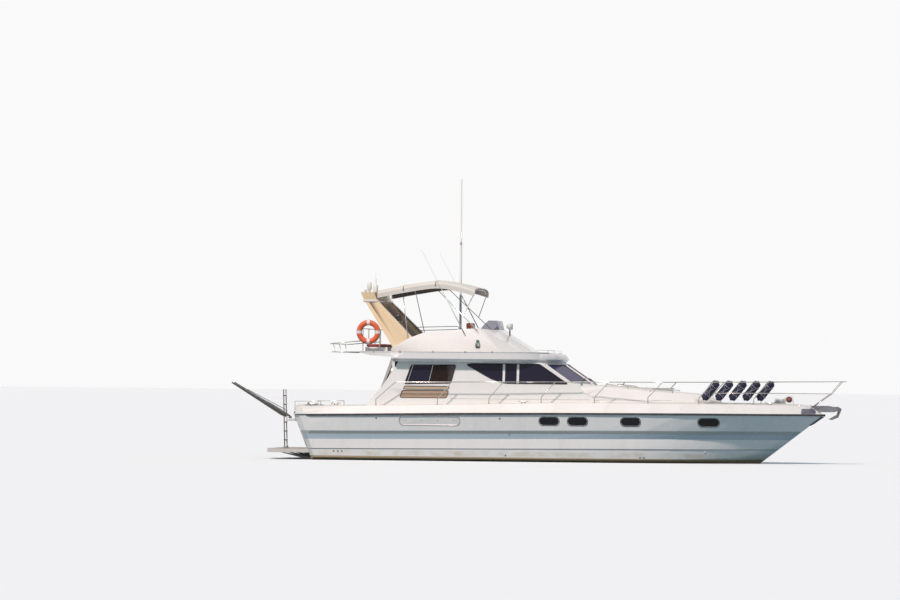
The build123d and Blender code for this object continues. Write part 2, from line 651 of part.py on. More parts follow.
def canvas_bow(foot, shoulder, top_z):
    half = [foot, shoulder, (shoulder[0], shoulder[1] * 0.6, top_z)]
    return bar(half + [(x, -y, z) for x, y, z in reversed(half)], 13, 6)


main_bow = canvas_bow((-2350, 1660, 3900), (-3690, 1300, 5190), 5385)
front_bow = canvas_bow((-2811, 1536, 4344), (-2530, 1265, 5020), 5155)
aft_bow = canvas_bow((-4450, 1700, 3600), (-4700, 1230, 5010), 5250)
save("bimini_frame", main_bow + front_bow - flybridge, aft_bow - flybridge)

# Aerials: two raked whips and one tall pole, each on a socket.
whips = []
for side in (-1, 1):
    foot, ferrule, head = (-2735, side * 1740, 3810), (-3430, side * 1740, 5120), (-4065, side * 1740, 6320)
    whips.append(joined([bar([foot, ferrule], 16), bar([ferrule, head], 7, 6)]) - flybridge)
save("whip_aerials", *whips)
POLE_PROFILE = ((3700, 46), (3900, 46), (3930, 38), (6600, 36), (6610, 28), (8580, 22))
save("pole_aerial", turned(Plane(origin=(-3390, 1640, 0)), POLE_PROFILE, 10) - flybridge)

# Navigation lights on the coaming and a searchlight ahead of the wind deflector.
lights = []
for side in (-1, 1):
    housing = block(-2400, -2270, min(side * 1640, side * 1800), max(side * 1640, side * 1800), 3420, 3540)
    lights.append(largest(housing + pillar(-2335, side * 1755, 3540, 3630, 42, 10) - flybridge))
lamp_stand = pillar(-1560, -400, 3700, 3980, 25, 8) - flybridge
lamp_body = turned(Plane(origin=(-1660, -400, 4050), z_dir=(1, 0, 0)), ((0, 40), (60, 88), (180, 95)), 12)
save("navigation_lights", *lights, lamp_stand + lamp_body)

# Guard rails: foot x of each stanchion, and the x where the top rail takes its next point.
STANCHION_FEET = (-3490, -1930, -360, 1230, 2820, 4310, 5900, 7200)
RAIL_ROUTE_X = (-4300, -2000, 600, 2900, 4600, 6000, 7000)
STANCHION_SLANT = 430
MIDDLE_RAIL = ((4720, 1560, 2100), (6000, 1110, 2110), (7000, 640, 2110))
RAIL_INSET = 60


def rail_top(x):
    return between(((-4765, 2350), (0, 2395), (4000, 2420), (8600, 2480)), x, 0, 1)


def guard_rail():
    nose_z = rail_top(8500)
    route = [(-5360, 2030, 1600), (-5360, 2030, 1830), (-4820, 2058, rail_top(-4765) - 45), (-4740, 2060, rail_top(-4740))]
    route += [(x, deck_edge(x)[0] - RAIL_INSET, rail_top(x)) for x in RAIL_ROUTE_X]
    route += [(8000, 330, rail_top(8000)), (8430, 300, nose_z), (8560, 160, nose_z), (8560, 0, nose_z)]
    pieces = [bar(route, RAIL_RADIUS, 6)]
    for foot_x in STANCHION_FEET:
        y, z = deck_edge(foot_x)
        head_x = foot_x + STANCHION_SLANT
        head_y = max(deck_edge(head_x)[0], 400) - RAIL_INSET
        foot_y = y - RAIL_INSET
        post = [(foot_x, foot_y, z - 15), (foot_x + 5, foot_y, z + 180), (head_x, head_y, rail_top(head_x))]
        pieces.append(bar(post, RAIL_RADIUS - 1, 6))
    pieces.append(bar([*MIDDLE_RAIL, (8120, 320, 2110), (8440, 298, nose_z)], 11, 6))
    pieces.append(bar([(7420, 130, 1600), (8120, 320, 2110)], RAIL_RADIUS - 1, 6))
    return largest(joined(pieces) - deck_form)


# Low rail on each quarter.
QUARTER_RAIL = [(-7850, 1890, 1500), (-7850, 1890, 1750), (-7050, 1965, 1755), (-7050, 1965, 1500)]
quarter_rail = bar(QUARTER_RAIL, 10, 6) + bar([(-7420, 1930, 1500), (-7420, 1930, 1752)], 10, 6)
rail_port = [guard_rail(), quarter_rail - deck_form]
rail_starboard = [mirror(piece, about=Plane.XZ) for piece in rail_port]
save("guard_rail_port", *rail_port)
save("guard_rail_starboard", *rail_starboard)

# Fenders in hooped racks inside the starboard rail.
FENDER_LEAN = Vector(0.62, 0, 0.785)
FENDER_PROFILE = ((0, 45), (60, 125), (FENDER_LENGTH - 60, 125), (FENDER_LENGTH, 45))
HOOP_RADIUS = 142
fenders = []
racks = []
for index in range(FENDER_COUNT):
    foot_x = 4400 + index * FENDER_PITCH
    foot = Vector(foot_x, -(deck_edge(foot_x + 350)[0] - 290), 1895)
    fenders.append(turned(Plane(origin=foot, x_dir=(0, 1, 0), z_dir=FENDER_LEAN), FENDER_PROFILE, 10))
    hoop_centres = [foot + FENDER_LEAN * along for along in (200, 520)]
    rack = [hoop(Plane(origin=c, x_dir=(0, 1, 0), z_dir=FENDER_LEAN), HOOP_RADIUS, 8, 8, 4) for c in hoop_centres]
    rack.append(bar([tuple(c - Vector(0, HOOP_RADIUS - 8, 0)) for c in hoop_centres], 7, 4))
    x, y, z = tuple(hoop_centres[0])
    rail_y = -between(MIDDLE_RAIL, x + 60, 0, 1)
    rack.append(bar([(x, y - HOOP_RADIUS + 6, z), (x + 60, rail_y, 2106)], 7, 4))
    racks.append(joined(rack) - rail_starboard[0])
save("fenders", *fenders)
save("fender_racks", *racks)

# Swim platform on struts, with a slot and lugs for the boarding ladder.
PLATFORM_PLAN = [(-7000, 1720), (-8550, 1720), (-8730, 1560), (-8820, 1250), (PLATFORM_END_X, 700)]
LADDER_SLOT = (-8440, 240)
platform = plan_plate(mirrored(PLATFORM_PLAN), PLATFORM_TOP - 110, PLATFORM_TOP) - hull_trimmed
platform = platform - block(-9000, LADDER_SLOT[0], -LADDER_SLOT[1], LADDER_SLOT[1], 0, 600)
platform_pieces = [platform]
for y in (-254, 254):
    platform_pieces.append(block(-8505, -8455, y - 12, y + 12, PLATFORM_TOP - 5, PLATFORM_TOP + 50))
for y in (-1350, -450, 450, 1350):
    strut = side_plate([(-7300, -60), (-8400, 210), (-8300, 211), (-7300, 40)], y - 25, y + 25)
    platform_pieces.append(strut - hull_trimmed)
save("swim_platform", joined(platform_pieces))

# Boarding ladder, folded up, that swings aft and down through the slot.
LADDER_PIVOT = (-8480, 345)
ladder_pieces = [bar([(-8480, y, 345), (-8530, y, 2100)], 20, 4) for y in (-190, 190)]
for step in range(6):
    z = 550 + step * 270
    x = LADDER_PIVOT[0] - (z - LADDER_PIVOT[1]) * 50 / 1755
    ladder_pieces.append(block(x - 11, x + 11, -190, 190, z - 9, z + 9))
ladder_pieces.append(pin((LADDER_PIVOT[0], 0, LADDER_PIVOT[1]), (0, 1, 0), 11, 480))
save("boarding_ladder", joined(ladder_pieces))

# Passerelle, raised as at rest: tapered stringers, treads and a folded hand rail; it turns on a pin.
PASSERELLE_ROOT = (-8150, -1250, 1270)
PASSERELLE_LENGTH = 2010
PASSERELLE_HALF = 195
STRINGER_TAPER = [(-20, -25), (-20, 45), (-PASSERELLE_LENGTH, 45), (-PASSERELLE_LENGTH, 5), (-200, -60)]
plank_pieces = [side_plate(STRINGER_TAPER, y - 15, y + 15) for y in (-PASSERELLE_HALF, PASSERELLE_HALF)]
for tread in range(11):
    x = -130 - tread * 178
    plank_pieces.append(block(x - 78, x + 78, -PASSERELLE_HALF, PASSERELLE_HALF, 8, 32))
folded_rail = [(-1500, -PASSERELLE_HALF, 30), (-1480, -PASSERELLE_HALF, 90), (-120, -PASSERELLE_HALF, 160), (-100, -PASSERELLE_HALF, 30)]
plank_pieces.append(bar(folded_rail, 10, 6))
plank_pieces.append(pin((0, 0, 0), (0, 1, 0), 18, 2 * PASSERELLE_HALF + 30))
plank_pieces.append(block(-60, 0, -PASSERELLE_HALF, PASSERELLE_HALF, -15, 15))
passerelle = Pos(*PASSERELLE_ROOT) * Rot(0, 30, 0) * joined(plank_pieces)
save("passerelle", passerelle)
foot_x, foot_y, foot_z = PASSERELLE_ROOT
foot_plate = block(foot_x - 40, -7900, foot_y - 250, foot_y + 250, foot_z - 120, foot_z - 40)
foot_pieces = [foot_plate]
for y in (foot_y - 228, foot_y + 228):
    ear = block(foot_x - 40, foot_x + 40, y - 10, y + 10, foot_z - 45, foot_z + 30)
    foot_pieces.append(ear)
save("passerelle_foot", largest(joined(foot_pieces) - hull_trimmed - deck))

# Transom gate on the port side, hinged inboard on a round knuckle.
GATE_HINGE = (-7612, 1352)
gate = block(-7665, -7625, 706, 1344, SOLE_TOP + 8, 1600)
for z in (1200, 1500):
    gate = gate + block(-7630, -7608, 1300, 1347, z - 30, z + 30)
    gate = gate + pin((*GATE_HINGE, z), (0, 0, 1), 7, 60)
save("transom_gate", gate)

# Lifebuoy outside the aft flybridge rail, starboard.
save("lifebuoy", hoop(Plane(origin=(-5650, -1745, 3845), z_dir=(0, 1, 0)), 282, 83, 20, 8))
aft_rail_half = [(-5330, 1640, 3270), (-5330, 1640, 3870), (-5400, 1640, 3915), (-5850, 1640, 3950)]
aft_rail = [bar(aft_rail_half + [(x, -y, z) for x, y, z in reversed(aft_rail_half)], 14, 6)]
for y in (-1560, -550, 550, 1560):
    aft_rail.append(bar([(-5850, y, 3270), (-5850, y, 3950)], 12, 6))
aft_rail = joined(aft_rail) - flybridge
awning_low = [(-5800, 1600, 3245), (-6700, 1600, 3245), (-6800, 1500, 3245)]
awning_high = [(-5860, 1640, 3580), (-6750, 1600, 3500), (-6850, 1500, 3490)]
awning = []
for route in (awning_low, awning_high):
    awning.append(bar(route + [(x, -y, z) for x, y, z in reversed(route)], 16, 6))
for y in (-1000, 0, 1000):
    awning.append(bar([(-6800, y, 3245), (-6850, y, 3490)], 12, 4))
save("flybridge_aft_rail", aft_rail, joined(awning) - flybridge - aft_rail)

# Foredeck gear: windlass, warp reel under its arch, bow roller and anchor.
windlass = block(6430, 6720, -140, 140, 1760, 1980)
windlass = chamfer(windlass.edges().filter_by(Axis.X).group_by(Axis.Z)[-1], 40) - deck
REEL_PROFILE = ((-85, 60), (-66, 60), (-65, 95), (65, 95), (66, 60), (85, 60))
reel = turned(Plane(origin=(6860, 0, 1925), z_dir=(0, 1, 0)), REEL_PROFILE, 10)
reel_arch = []
for y in (-100, 100):
    arch_route = [(6740, y, 1760), (6740, y, 1960), (6800, y, 2035), (6920, y, 2035), (6980, y, 1960), (6980, y, 1760)]
    reel_arch.append(bar(arch_route, 9, 4))
reel_arch.append(bar([(6860, -100, 2035), (6860, 100, 2035)], 9, 4))
save("windlass", windlass, reel, joined(reel_arch) - deck)
ROLLER_CHEEK = [(7300, 1560), (7300, 1750), (8060, 1750), (8330, 1690), (8330, 1600), (8200, 1560)]
roller_parts = [side_plate(ROLLER_CHEEK, y - 8, y + 8) for y in (-82, 82)]
roller_parts.append(side_plate([(7300, 1600), (7300, 1622), (8180, 1622), (8180, 1600)], -90, 90))
roller_parts.append(pin((8265, 0, 1640), (0, 1, 0), 32, 150))
save("bow_roller", largest(joined(roller_parts) - deck_form - hull_form - rub_band))
SHANK_SIDE = [(7650, 1678), (7650, 1725), (8330, 1725), (8440, 1660), (8330, 1390), (8250, 1400), (8320, 1600), (8300, 1676)]
FLUKE_SIDE = [(8330, 1400), (8255, 1470), (8040, 1350), (8150, 1330)]
fluke = side_plate(FLUKE_SIDE, -110, 110)
save("anchor", side_plate(SHANK_SIDE, -18, 18) + fluke)

# Coachroof: hatch with a raised frame, its lid on round knuckles, and hand rails.
HATCH_FRAME = (2750, 3350, -300, 300)
LID_HINGE = (3362, 2231)
hatch_frame = block(*HATCH_FRAME, 2080, 2215) - block(2800, 3300, -250, 250, 2070, 2300) - coachroof
save("hatch_frame", hatch_frame)
lid_pieces = [block(*HATCH_FRAME, 2217, 2245)]
for y in (-200, 200):
    lid_pieces.append(block(3340, 3362, y - 40, y + 40, 2225, 2237))
    lid_pieces.append(pin((LID_HINGE[0], y, LID_HINGE[1]), (0, 1, 0), 9, 80))
save("hatch_lid", joined(lid_pieces))
HAND_RAIL = ((1500, 1410), (2150, 1310), (2800, 1180), (3450, 990))


def hand_rail_z(x):
    return between(coachroof_rows, x, 0, 3) + 55


hand_rail = [bar([(x, y, hand_rail_z(x)) for x, y in HAND_RAIL], 12, 5)]
for x, y in HAND_RAIL:
    hand_rail.append(bar([(x, y, hand_rail_z(x) - 120), (x, y, hand_rail_z(x) + 4)], 9, 4))
save("handrails", *both_sides(joined(hand_rail) - coachroof))

# Propellers: four blades with falling pitch, each from its own sections, on an inclined shaft.
SHAFT_AFT = Vector(-6600, SHAFT_OFFSET, -800)
SHAFT_FORWARD = Vector(-4750, SHAFT_OFFSET, -474)
shaft_run = SHAFT_FORWARD - SHAFT_AFT
shaft_line = shaft_run.normalized()
# Blade stations: radius, chord, pitch angle in degrees, thickness, rake aft.
BLADE_STATIONS = (
    (45, 105, 64, 30, 0),
    (120, 175, 45, 21, -5),
    (205, 218, 31, 13, -12),
    (280, 160, 25, 8, -19),
    (310, 60, 23, 4, -22),
)
# Blade section corners as shares of chord and thickness, from the leading edge over the back.
BLADE_SECTION = ((-0.5, 0), (-0.2, 0.55), (0.2, 0.55), (0.5, 0), (0, -0.2))


def blade_ring(row):
    radius, chord, pitch, thickness, rake = row
    turn = math.radians(pitch)
    ring = []
    for chord_share, thick_share in BLADE_SECTION:
        along, across = chord_share * chord, thick_share * thickness
        y = along * math.cos(turn) - across * math.sin(turn)
        z = along * math.sin(turn) + across * math.cos(turn) + rake
        ring.append((math.sqrt(max(radius**2 - y**2, 400)), y, z))
    return ring


blade = faceted([
    [(row[0], y, z) for x, y, z in blade_ring(row)] for row in BLADE_STATIONS
])
propeller_pieces = [Rot(0, 0, 90 * index) * blade for index in range(4)]
propeller_pieces.append(turned(Plane.XY, ((-160, 24), (-80, 60), (80, 60)), 12))
axis_frame = Plane(origin=SHAFT_AFT, x_dir=(0, 1, 0), z_dir=shaft_line)
shaft_length = shaft_run.length - 30
shaft = Pos(0, 0, shaft_length / 2) * Cylinder(SHAFT_RADIUS, shaft_length)
propeller = axis_frame * joined(propeller_pieces + [shaft])
save("propeller_port", propeller)
save("propeller_starboard", mirror(propeller, about=Plane.XZ))
bearing_at = SHAFT_AFT + shaft_line * 260
strut = side_plate([(-6400, -760), (-6290, -740), (-6200, 0), (-6360, 0)], SHAFT_OFFSET - 14, SHAFT_OFFSET + 14)
bearing_frame = Plane(origin=bearing_at, x_dir=(0, 1, 0), z_dir=shaft_line)
bearing = turned(bearing_frame, ((-75, 48), (75, 48)), 12)
bearing_bore = turned(bearing_frame, ((-80, SHAFT_RADIUS + 3), (80, SHAFT_RADIUS + 3)), 12)
bracket = bearing - bearing_bore + (strut - turned(bearing_frame, ((-200, 40), (200, 40)), 12))
save("shaft_brackets", *both_sides(largest(bracket - hull_form)))
RUDDER_STOCK_X = -7080
log_frame = Plane(origin=SHAFT_FORWARD, x_dir=(0, 1, 0), z_dir=shaft_line)
shaft_log = turned(log_frame, ((-24, 48), (876, 48)), 10) - hull_form
rudder_gland = pillar(RUDDER_STOCK_X, SHAFT_OFFSET, -370, -70, 60, 10) - hull_form
save("shaft_logs", *both_sides(shaft_log), *both_sides(rudder_gland))

# Rudders with a foil section: x of nose, thickest point and tail at the foot and the head.
RUDDER_LEVELS = ((-1080, -6975, -7060, -7330, 14), (-420, -6910, -7040, -7370, 24))
rudder_blade = faceted([
    [
        (nose, SHAFT_OFFSET, z),
        (thick, SHAFT_OFFSET + half, z),
        (tail, SHAFT_OFFSET + 3, z),
        (tail, SHAFT_OFFSET - 3, z),
        (thick, SHAFT_OFFSET - half, z),
    ]
    for z, nose, thick, tail, half in RUDDER_LEVELS
])
rudder = rudder_blade + pin((RUDDER_STOCK_X, SHAFT_OFFSET, -446), (0, 0, 1), 22, 150)
save("rudder_port", rudder)
save("rudder_starboard", mirror(rudder, about=Plane.XZ))
tab = block(-7740, -7340, 930, 1570, -110, -90) - hull_trimmed
save("trim_tabs", *both_sides(tab))

# Cleats and ensign socket.
CLEAT_SIDE = [
    (-70, -30), (-30, -30), (-22, 45), (22, 45), (30, -30), (70, -30), (60, 55), (145, 68), (140, 84), (50, 76),
    (-50, 76), (-140, 84), (-145, 68), (-60, 55),
]
cleats = []
for x in (-7300, -900, 6350):
    y, z = deck_edge(x)
    cleat = side_plate([(x + along, z + up) for along, up in CLEAT_SIDE], y - 126, y - 94)
    cleats += both_sides(cleat - deck_form)
save("cleats", *cleats)
socket = Pos(-7800, 0, 1695) * Cylinder(24, 110) - Pos(-7800, 0, 1710) * Cylinder(13, 80)
save("staff_socket", socket - deck)
save("deck", deck)
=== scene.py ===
import json
import math

import bmesh
import bpy
from mathutils import Matrix, Vector
from mathutils.bvhtree import BVHTree
from mathutils.kdtree import KDTree

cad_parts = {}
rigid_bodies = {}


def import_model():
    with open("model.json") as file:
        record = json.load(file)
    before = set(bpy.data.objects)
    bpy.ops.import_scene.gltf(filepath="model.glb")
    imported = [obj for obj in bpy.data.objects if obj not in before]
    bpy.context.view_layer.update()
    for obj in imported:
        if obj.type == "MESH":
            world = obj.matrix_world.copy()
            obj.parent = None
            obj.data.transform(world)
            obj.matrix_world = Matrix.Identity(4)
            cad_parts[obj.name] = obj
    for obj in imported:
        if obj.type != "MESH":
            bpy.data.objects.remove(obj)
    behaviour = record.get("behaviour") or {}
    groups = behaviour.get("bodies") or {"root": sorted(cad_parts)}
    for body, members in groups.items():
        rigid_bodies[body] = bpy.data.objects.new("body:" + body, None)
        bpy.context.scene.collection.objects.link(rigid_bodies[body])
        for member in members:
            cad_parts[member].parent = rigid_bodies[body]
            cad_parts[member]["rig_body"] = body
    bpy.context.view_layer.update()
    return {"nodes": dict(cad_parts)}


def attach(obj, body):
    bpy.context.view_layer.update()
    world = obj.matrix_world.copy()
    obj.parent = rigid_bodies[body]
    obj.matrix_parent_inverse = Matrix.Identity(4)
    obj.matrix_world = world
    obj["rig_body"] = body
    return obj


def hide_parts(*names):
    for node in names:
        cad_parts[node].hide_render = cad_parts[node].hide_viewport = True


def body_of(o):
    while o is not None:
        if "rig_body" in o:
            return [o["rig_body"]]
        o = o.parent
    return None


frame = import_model()
nodes = frame["nodes"]


# Camera on the starboard side, a little ahead of the beam and low over the water,
# with a long lens, rolled by half a degree as in the photograph.
def linked(name, data):
    """Puts a new object in the scene."""
    thing = bpy.data.objects.new(name, data)
    bpy.context.scene.collection.objects.link(thing)
    return thing


view_angle = math.radians(9.0)
view_distance = 150.0
aim_point = Vector((-3.46, 0.0, 4.85))
eye_height = 2.45
eye = Vector((
    aim_point.x + view_distance * math.sin(view_angle),
    -view_distance * math.cos(view_angle),
    eye_height,
))
camera_roll = math.radians(0.5)
lens = bpy.data.cameras.new("long_lens")
lens.sensor_width = 36.0
lens.lens = 198.0
lens.clip_end = 2000.0
camera = linked("camera", lens)
facing = (aim_point - eye).to_track_quat("-Z", "Y").to_matrix().to_4x4()
camera.matrix_world = Matrix.Translation(eye) @ facing @ Matrix.Rotation(camera_roll, 4, "Z")
bpy.context.scene.camera = camera
bpy.context.scene.view_settings.view_transform = "Standard"


# Studio: pale floor at the waterline and white surroundings for what is seen directly or
# mirrored. The soft light itself is cool, as off water, under a warm sun lamp and a faint fill.
class Wire:
    """A socket of a node tree that takes part in plain sums."""

    def __init__(self, socket):
        self.socket = socket
        self.tree = socket.id_data

    def add(self, kind, settings=None, sockets=None, output=0):
        """Adds a node to the same tree, set and linked as given, and gives its output."""
        node = self.tree.nodes.new(kind)
        for name, value in (settings or {}).items():
            setattr(node, name, value)
        for name, value in (sockets or {}).items():
            if isinstance(value, Wire):
                self.tree.links.new(value.socket, node.inputs[name])
            else:
                node.inputs[name].default_value = value
        return Wire(node.outputs[output])

    def math(self, operation, first, second=0.0):
        return self.add("ShaderNodeMath", {"operation": operation}, {0: first, 1: second})

    def __add__(self, other):
        return self.math("ADD", self, other)

    def __sub__(self, other):
        return self.math("SUBTRACT", self, other)

    def __rsub__(self, other):
        return self.math("SUBTRACT", other, self)

    def __mul__(self, other):
        return self.math("MULTIPLY", self, other)

    def __truediv__(self, other):
        return self.math("DIVIDE", self, other)

    def __abs__(self):
        return self.math("ABSOLUTE", self)

    def step(self, low, high):
        """Runs from 0 at low to 1 at high with soft ends."""
        sockets = {"Value": self, "From Min": low, "From Max": high}
        return self.add("ShaderNodeMapRange", {"interpolation_type": "SMOOTHSTEP"}, sockets)

    def band(self, low, high, edge):
        """1 between low and high, with soft edges, and 0 elsewhere."""
        return self.step(low - edge, low + edge) * (1 - self.step(high - edge, high + edge))

    def blend(self, under, over):
        """Colour that goes from under to over as this wire goes from 0 to 1."""
        under = under if isinstance(under, Wire) else (*under, 1.0)
        over = over if isinstance(over, Wire) else (*over, 1.0)
        sockets = {"Factor": self, 6: under, 7: over}
        return self.add("ShaderNodeMix", {"data_type": "RGBA"}, sockets, output=2)


def seen_directly(wire):
    """1 for what the camera, a mirror or a pane shows, and 0 for the light that falls on things."""
    paths = wire.add("ShaderNodeLightPath").socket.node.outputs
    kinds = ("Camera", "Glossy", "Transmission")
    direct, mirrored, through_glass = (Wire(paths[f"Is {kind} Ray"]) for kind in kinds)
    return (direct + mirrored + through_glass).step(0.0, 1.0)


def new_finish(name, **shader_values):
    """A material with plain values on its shader; gives it, the shader and a position wire."""
    material = bpy.data.materials.new(name)
    material.use_nodes = True
    shader = material.node_tree.nodes["Principled BSDF"]
    for socket, value in shader_values.items():
        shader.inputs[socket.replace("_", " ")].default_value = value
    place = material.node_tree.nodes.new("ShaderNodeTexCoord")
    return material, shader, Wire(place.outputs["Object"])


def feed(shader, socket, wire):
    shader.id_data.links.new(wire.socket, shader.inputs[socket])


world = bpy.data.worlds.new("studio")
bpy.context.scene.world = world
world.use_nodes = True
surround = Wire(world.node_tree.nodes["Background"].inputs["Color"])
sky = seen_directly(surround).blend((0.26, 0.33, 0.38), (0.95, 0.95, 0.95))
world.node_tree.links.new(sky.socket, surround.socket)

floor_reach = 900.0
floor_mesh = bpy.data.meshes.new("floor")
floor_mesh.from_pydata(
    [(x * floor_reach, y * floor_reach, 0.0) for x, y in ((-1, -1), (1, -1), (1, 1), (-1, 1))],
    [],
    [(0, 1, 2, 3)],
)
floor_paint, shader, place = new_finish("floor_paint", Roughness=0.8)
feed(shader, "Base Color", seen_directly(place).blend((0.12, 0.22, 0.28), (0.87, 0.905, 0.925)))
floor_mesh.materials.append(floor_paint)
linked("floor", floor_mesh)

for name, strength, colour, softness, turn, height in (
    ("key_lamp", 2.95, (1.0, 0.84, 0.76), 5.0, -22.0, 47.0),
    ("fill_lamp", 0.15, (0.92, 0.97, 1.0), 50.0, 35.0, 50.0),
):
    light = bpy.data.lights.new(name, "SUN")
    light.energy = strength
    light.color = colour
    light.angle = math.radians(softness)
    tilt = math.radians(90.0 - height)
    linked(name, light).rotation_euler = (tilt, 0.0, math.radians(turn))


# Hull: glass-fibre moulding in white gelcoat, with a grey-green line in the groove under the
# knuckle darkened further as painted shade, painted blue-grey shade on the waist below it and a
# painted shadow line under the spray rail, an ochre boot stripe at the water and antifouling
# below, all faired and polished.
def paint(shader, wire):
    feed(shader, "Base Color", wire)


def axes(place):
    """The three parts of a position or direction: along, across and height."""
    split = place.add("ShaderNodeSeparateXYZ", None, {"Vector": place})
    return [Wire(output) for output in split.socket.node.outputs]


def stretched(place, *factors):
    return place.add("ShaderNodeVectorMath", {"operation": "MULTIPLY"}, {0: place, 1: factors})


def noise(place, scale, detail=3.0):
    sockets = {"Vector": place, "Scale": scale, "Detail": detail}
    return place.add("ShaderNodeTexNoise", None, sockets)


def bump(shader, height, distance):
    sockets = {"Height": height, "Distance": distance, "Strength": 1.0}
    feed(shader, "Normal", height.add("ShaderNodeBump", None, sockets))


def uneven(shader, place, scale, spread, least):
    """Roughness that wanders over the surface."""
    feed(shader, "Roughness", noise(place, scale) * spread + least)


def surface_normal(place):
    return axes(place.add("ShaderNodeNewGeometry", output=1))


def as_mesh(name, shape, *finishes):
    """Ends a bmesh as a mesh that carries its finishes."""
    mesh = bpy.data.meshes.new(name)
    shape.to_mesh(mesh)
    shape.free()
    for finish in finishes:
        mesh.materials.append(finish)
    return mesh


def ease(piece, edge):
    """Rounds a piece's corners by that radius."""
    bevel = piece.modifiers.new("eased_corners", "BEVEL")
    bevel.width = edge
    bevel.segments = 2
    bevel.limit_method = "ANGLE"
    return bevel


def stand_in(piece, node):
    """Hides a CAD node, where a piece stands in its place."""
    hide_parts(node)


def faired(mesh, reach=0.9, upright=4.0, likeness=0.968):
    """Shades each flat as the mean of the flats near it along the same band of the moulding."""
    stretch = Vector((1.0, 1.0, upright))
    middles = KDTree(len(mesh.polygons))
    for face in mesh.polygons:
        middles.insert(face.center * stretch, face.index)
    middles.balance()
    normals = []
    for face in mesh.polygons:
        for corner in face.vertices:
            spot = mesh.vertices[corner].co * stretch
            total = face.normal * face.area
            for _, index, distance in middles.find_range(spot, reach):
                near = mesh.polygons[index]
                if near.normal.dot(face.normal) > likeness:
                    total += near.normal * near.area * (1.0 - distance / reach)
            normals.append(total.normalized())
    mesh.normals_split_custom_set(normals)


def smoothed(node, finish, crease=32.0, edge=0.0, fair=False):
    """Stands a merged copy of a CAD node in its place, shaded round between its creases."""
    shape = bmesh.new()
    shape.from_mesh(nodes[node].data)
    bmesh.ops.remove_doubles(shape, verts=shape.verts, dist=0.0002)
    if edge:
        flat = math.radians(1.0)
        bmesh.ops.dissolve_limit(shape, angle_limit=flat, verts=shape.verts, edges=shape.edges)
    mesh = as_mesh(node + "_skin", shape, finish)
    for face in mesh.polygons:
        face.material_index = 0
    mesh.shade_smooth()
    mesh.set_sharp_from_angle(angle=math.radians(crease))
    if fair:
        faired(mesh)
    piece = linked(node + "_skin", mesh)
    if edge:
        bevel = ease(piece, edge)
        bevel.angle_limit = math.radians(crease)
        bevel.harden_normals = True
    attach(piece, body_of(nodes[node])[0])
    stand_in(piece, node)


gelcoat_white = (0.80, 0.79, 0.78)
gelcoat_aged = (0.72, 0.70, 0.665)
hull_paint, shader, place = new_finish("hull_gelcoat", Coat_Weight=0.3, Coat_Roughness=0.12)
along, across, height = axes(place)
water_line = height + along * 0.0009
streaks = noise(stretched(place, 2.2, 2.2, 0.25), 1.6)
white = (streaks.step(0.45, 0.8) * 0.5).blend(gelcoat_white, gelcoat_aged)
scum = height.band(0.15, 0.30, 0.05) * noise(place, 3.0).step(0.35, 0.75) * 0.6
stained = scum.blend(white, (0.55, 0.46, 0.32))
stern_x, level_x = -8.35, 3.7
sheer = along.step(stern_x, level_x)
from_knuckle = height - (sheer * 0.088 + 0.87)
groove_low, groove_high, waist_low, soft_edge = -0.10, 0.012, -0.245, 0.006
groove = from_knuckle.band(groove_low, groove_high, soft_edge)
# The groove's grey-green line is darkened further as painted shade under the knuckle.
groove_line_and_shade = (groove * 0.8).blend(stained, (0.25, 0.30, 0.30))
# The waist under the groove is painted blue-grey: painted shade, as on a face turned down to the
# water.
waist_shade_mask = from_knuckle.band(waist_low, groove_low, soft_edge)
waist_painted_shade = (waist_shade_mask * 0.75).blend(groove_line_and_shade, (0.30, 0.43, 0.53))
spray = sheer * 0.078 + 0.325
# A dark line along the spray rail: painted shadow under the rail's step.
painted_shade_area = ((height - spray).band(-0.004, 0.024, 0.004) * 0.8).blend(waist_painted_shade, (0.20, 0.22, 0.25))
boot = (1 - water_line.step(0.125, 0.135)).blend(painted_shade_area, (0.40, 0.29, 0.17))
bottom = (1 - water_line.step(0.02, 0.03)).blend(boot, (0.09, 0.05, 0.04))
paint(shader, bottom)
wetted = 1 - water_line.step(0.12, 0.14)
feed(shader, "Roughness", noise(place, 6.0) * 0.12 + 0.2 + wetted * 0.4)
bump(shader, noise(place, 0.7, 1.0), 0.008)
smoothed("hull", hull_paint, 24.0, fair=True)


# Cabin windows in the hull: dark toughened glass behind a slim rubber seal, which follows
# the topside. The engine-room intake is a long oval plate screwed in its bright frame.
def mottled(name, scale, under, over, rough=None, grain=None, **shader_values):
    """A finish whose colour wanders between two.

    rough is the scale, spread and least value of its roughness, grain its bump's scale and depth.
    """
    finish, shader, place = new_finish(name, **shader_values)
    paint(shader, noise(place, scale).blend(under, over))
    if rough:
        uneven(shader, place, *rough)
    if grain:
        bump(shader, noise(place, grain[0]), grain[1])
    return finish


hull_glass = mottled(
    "hull_window_glass", 2.0, (0.006, 0.007, 0.010), (0.018, 0.02, 0.026), Roughness=0.1,
    Specular_IOR_Level=0.15,
)
vent_paint = mottled(
    "intake_plate", 5.0, (0.66, 0.66, 0.66), (0.76, 0.755, 0.74), rough=(8.0, 0.2, 0.3),
    Coat_Weight=0.3,
)
seal_rubber = mottled(
    "seal_rubber", 9.0, (0.02, 0.02, 0.022), (0.06, 0.06, 0.062), grain=(80.0, 0.0005),
    Roughness=0.6,
)
bright_frame = mottled(
    "bright_frame", 9.0, (0.30, 0.30, 0.31), (0.46, 0.46, 0.47), rough=(14.0, 0.2, 0.25),
    Metallic=1.0,
)
smoothed("hull_windows", hull_glass)
smoothed("engine_vents", vent_paint)


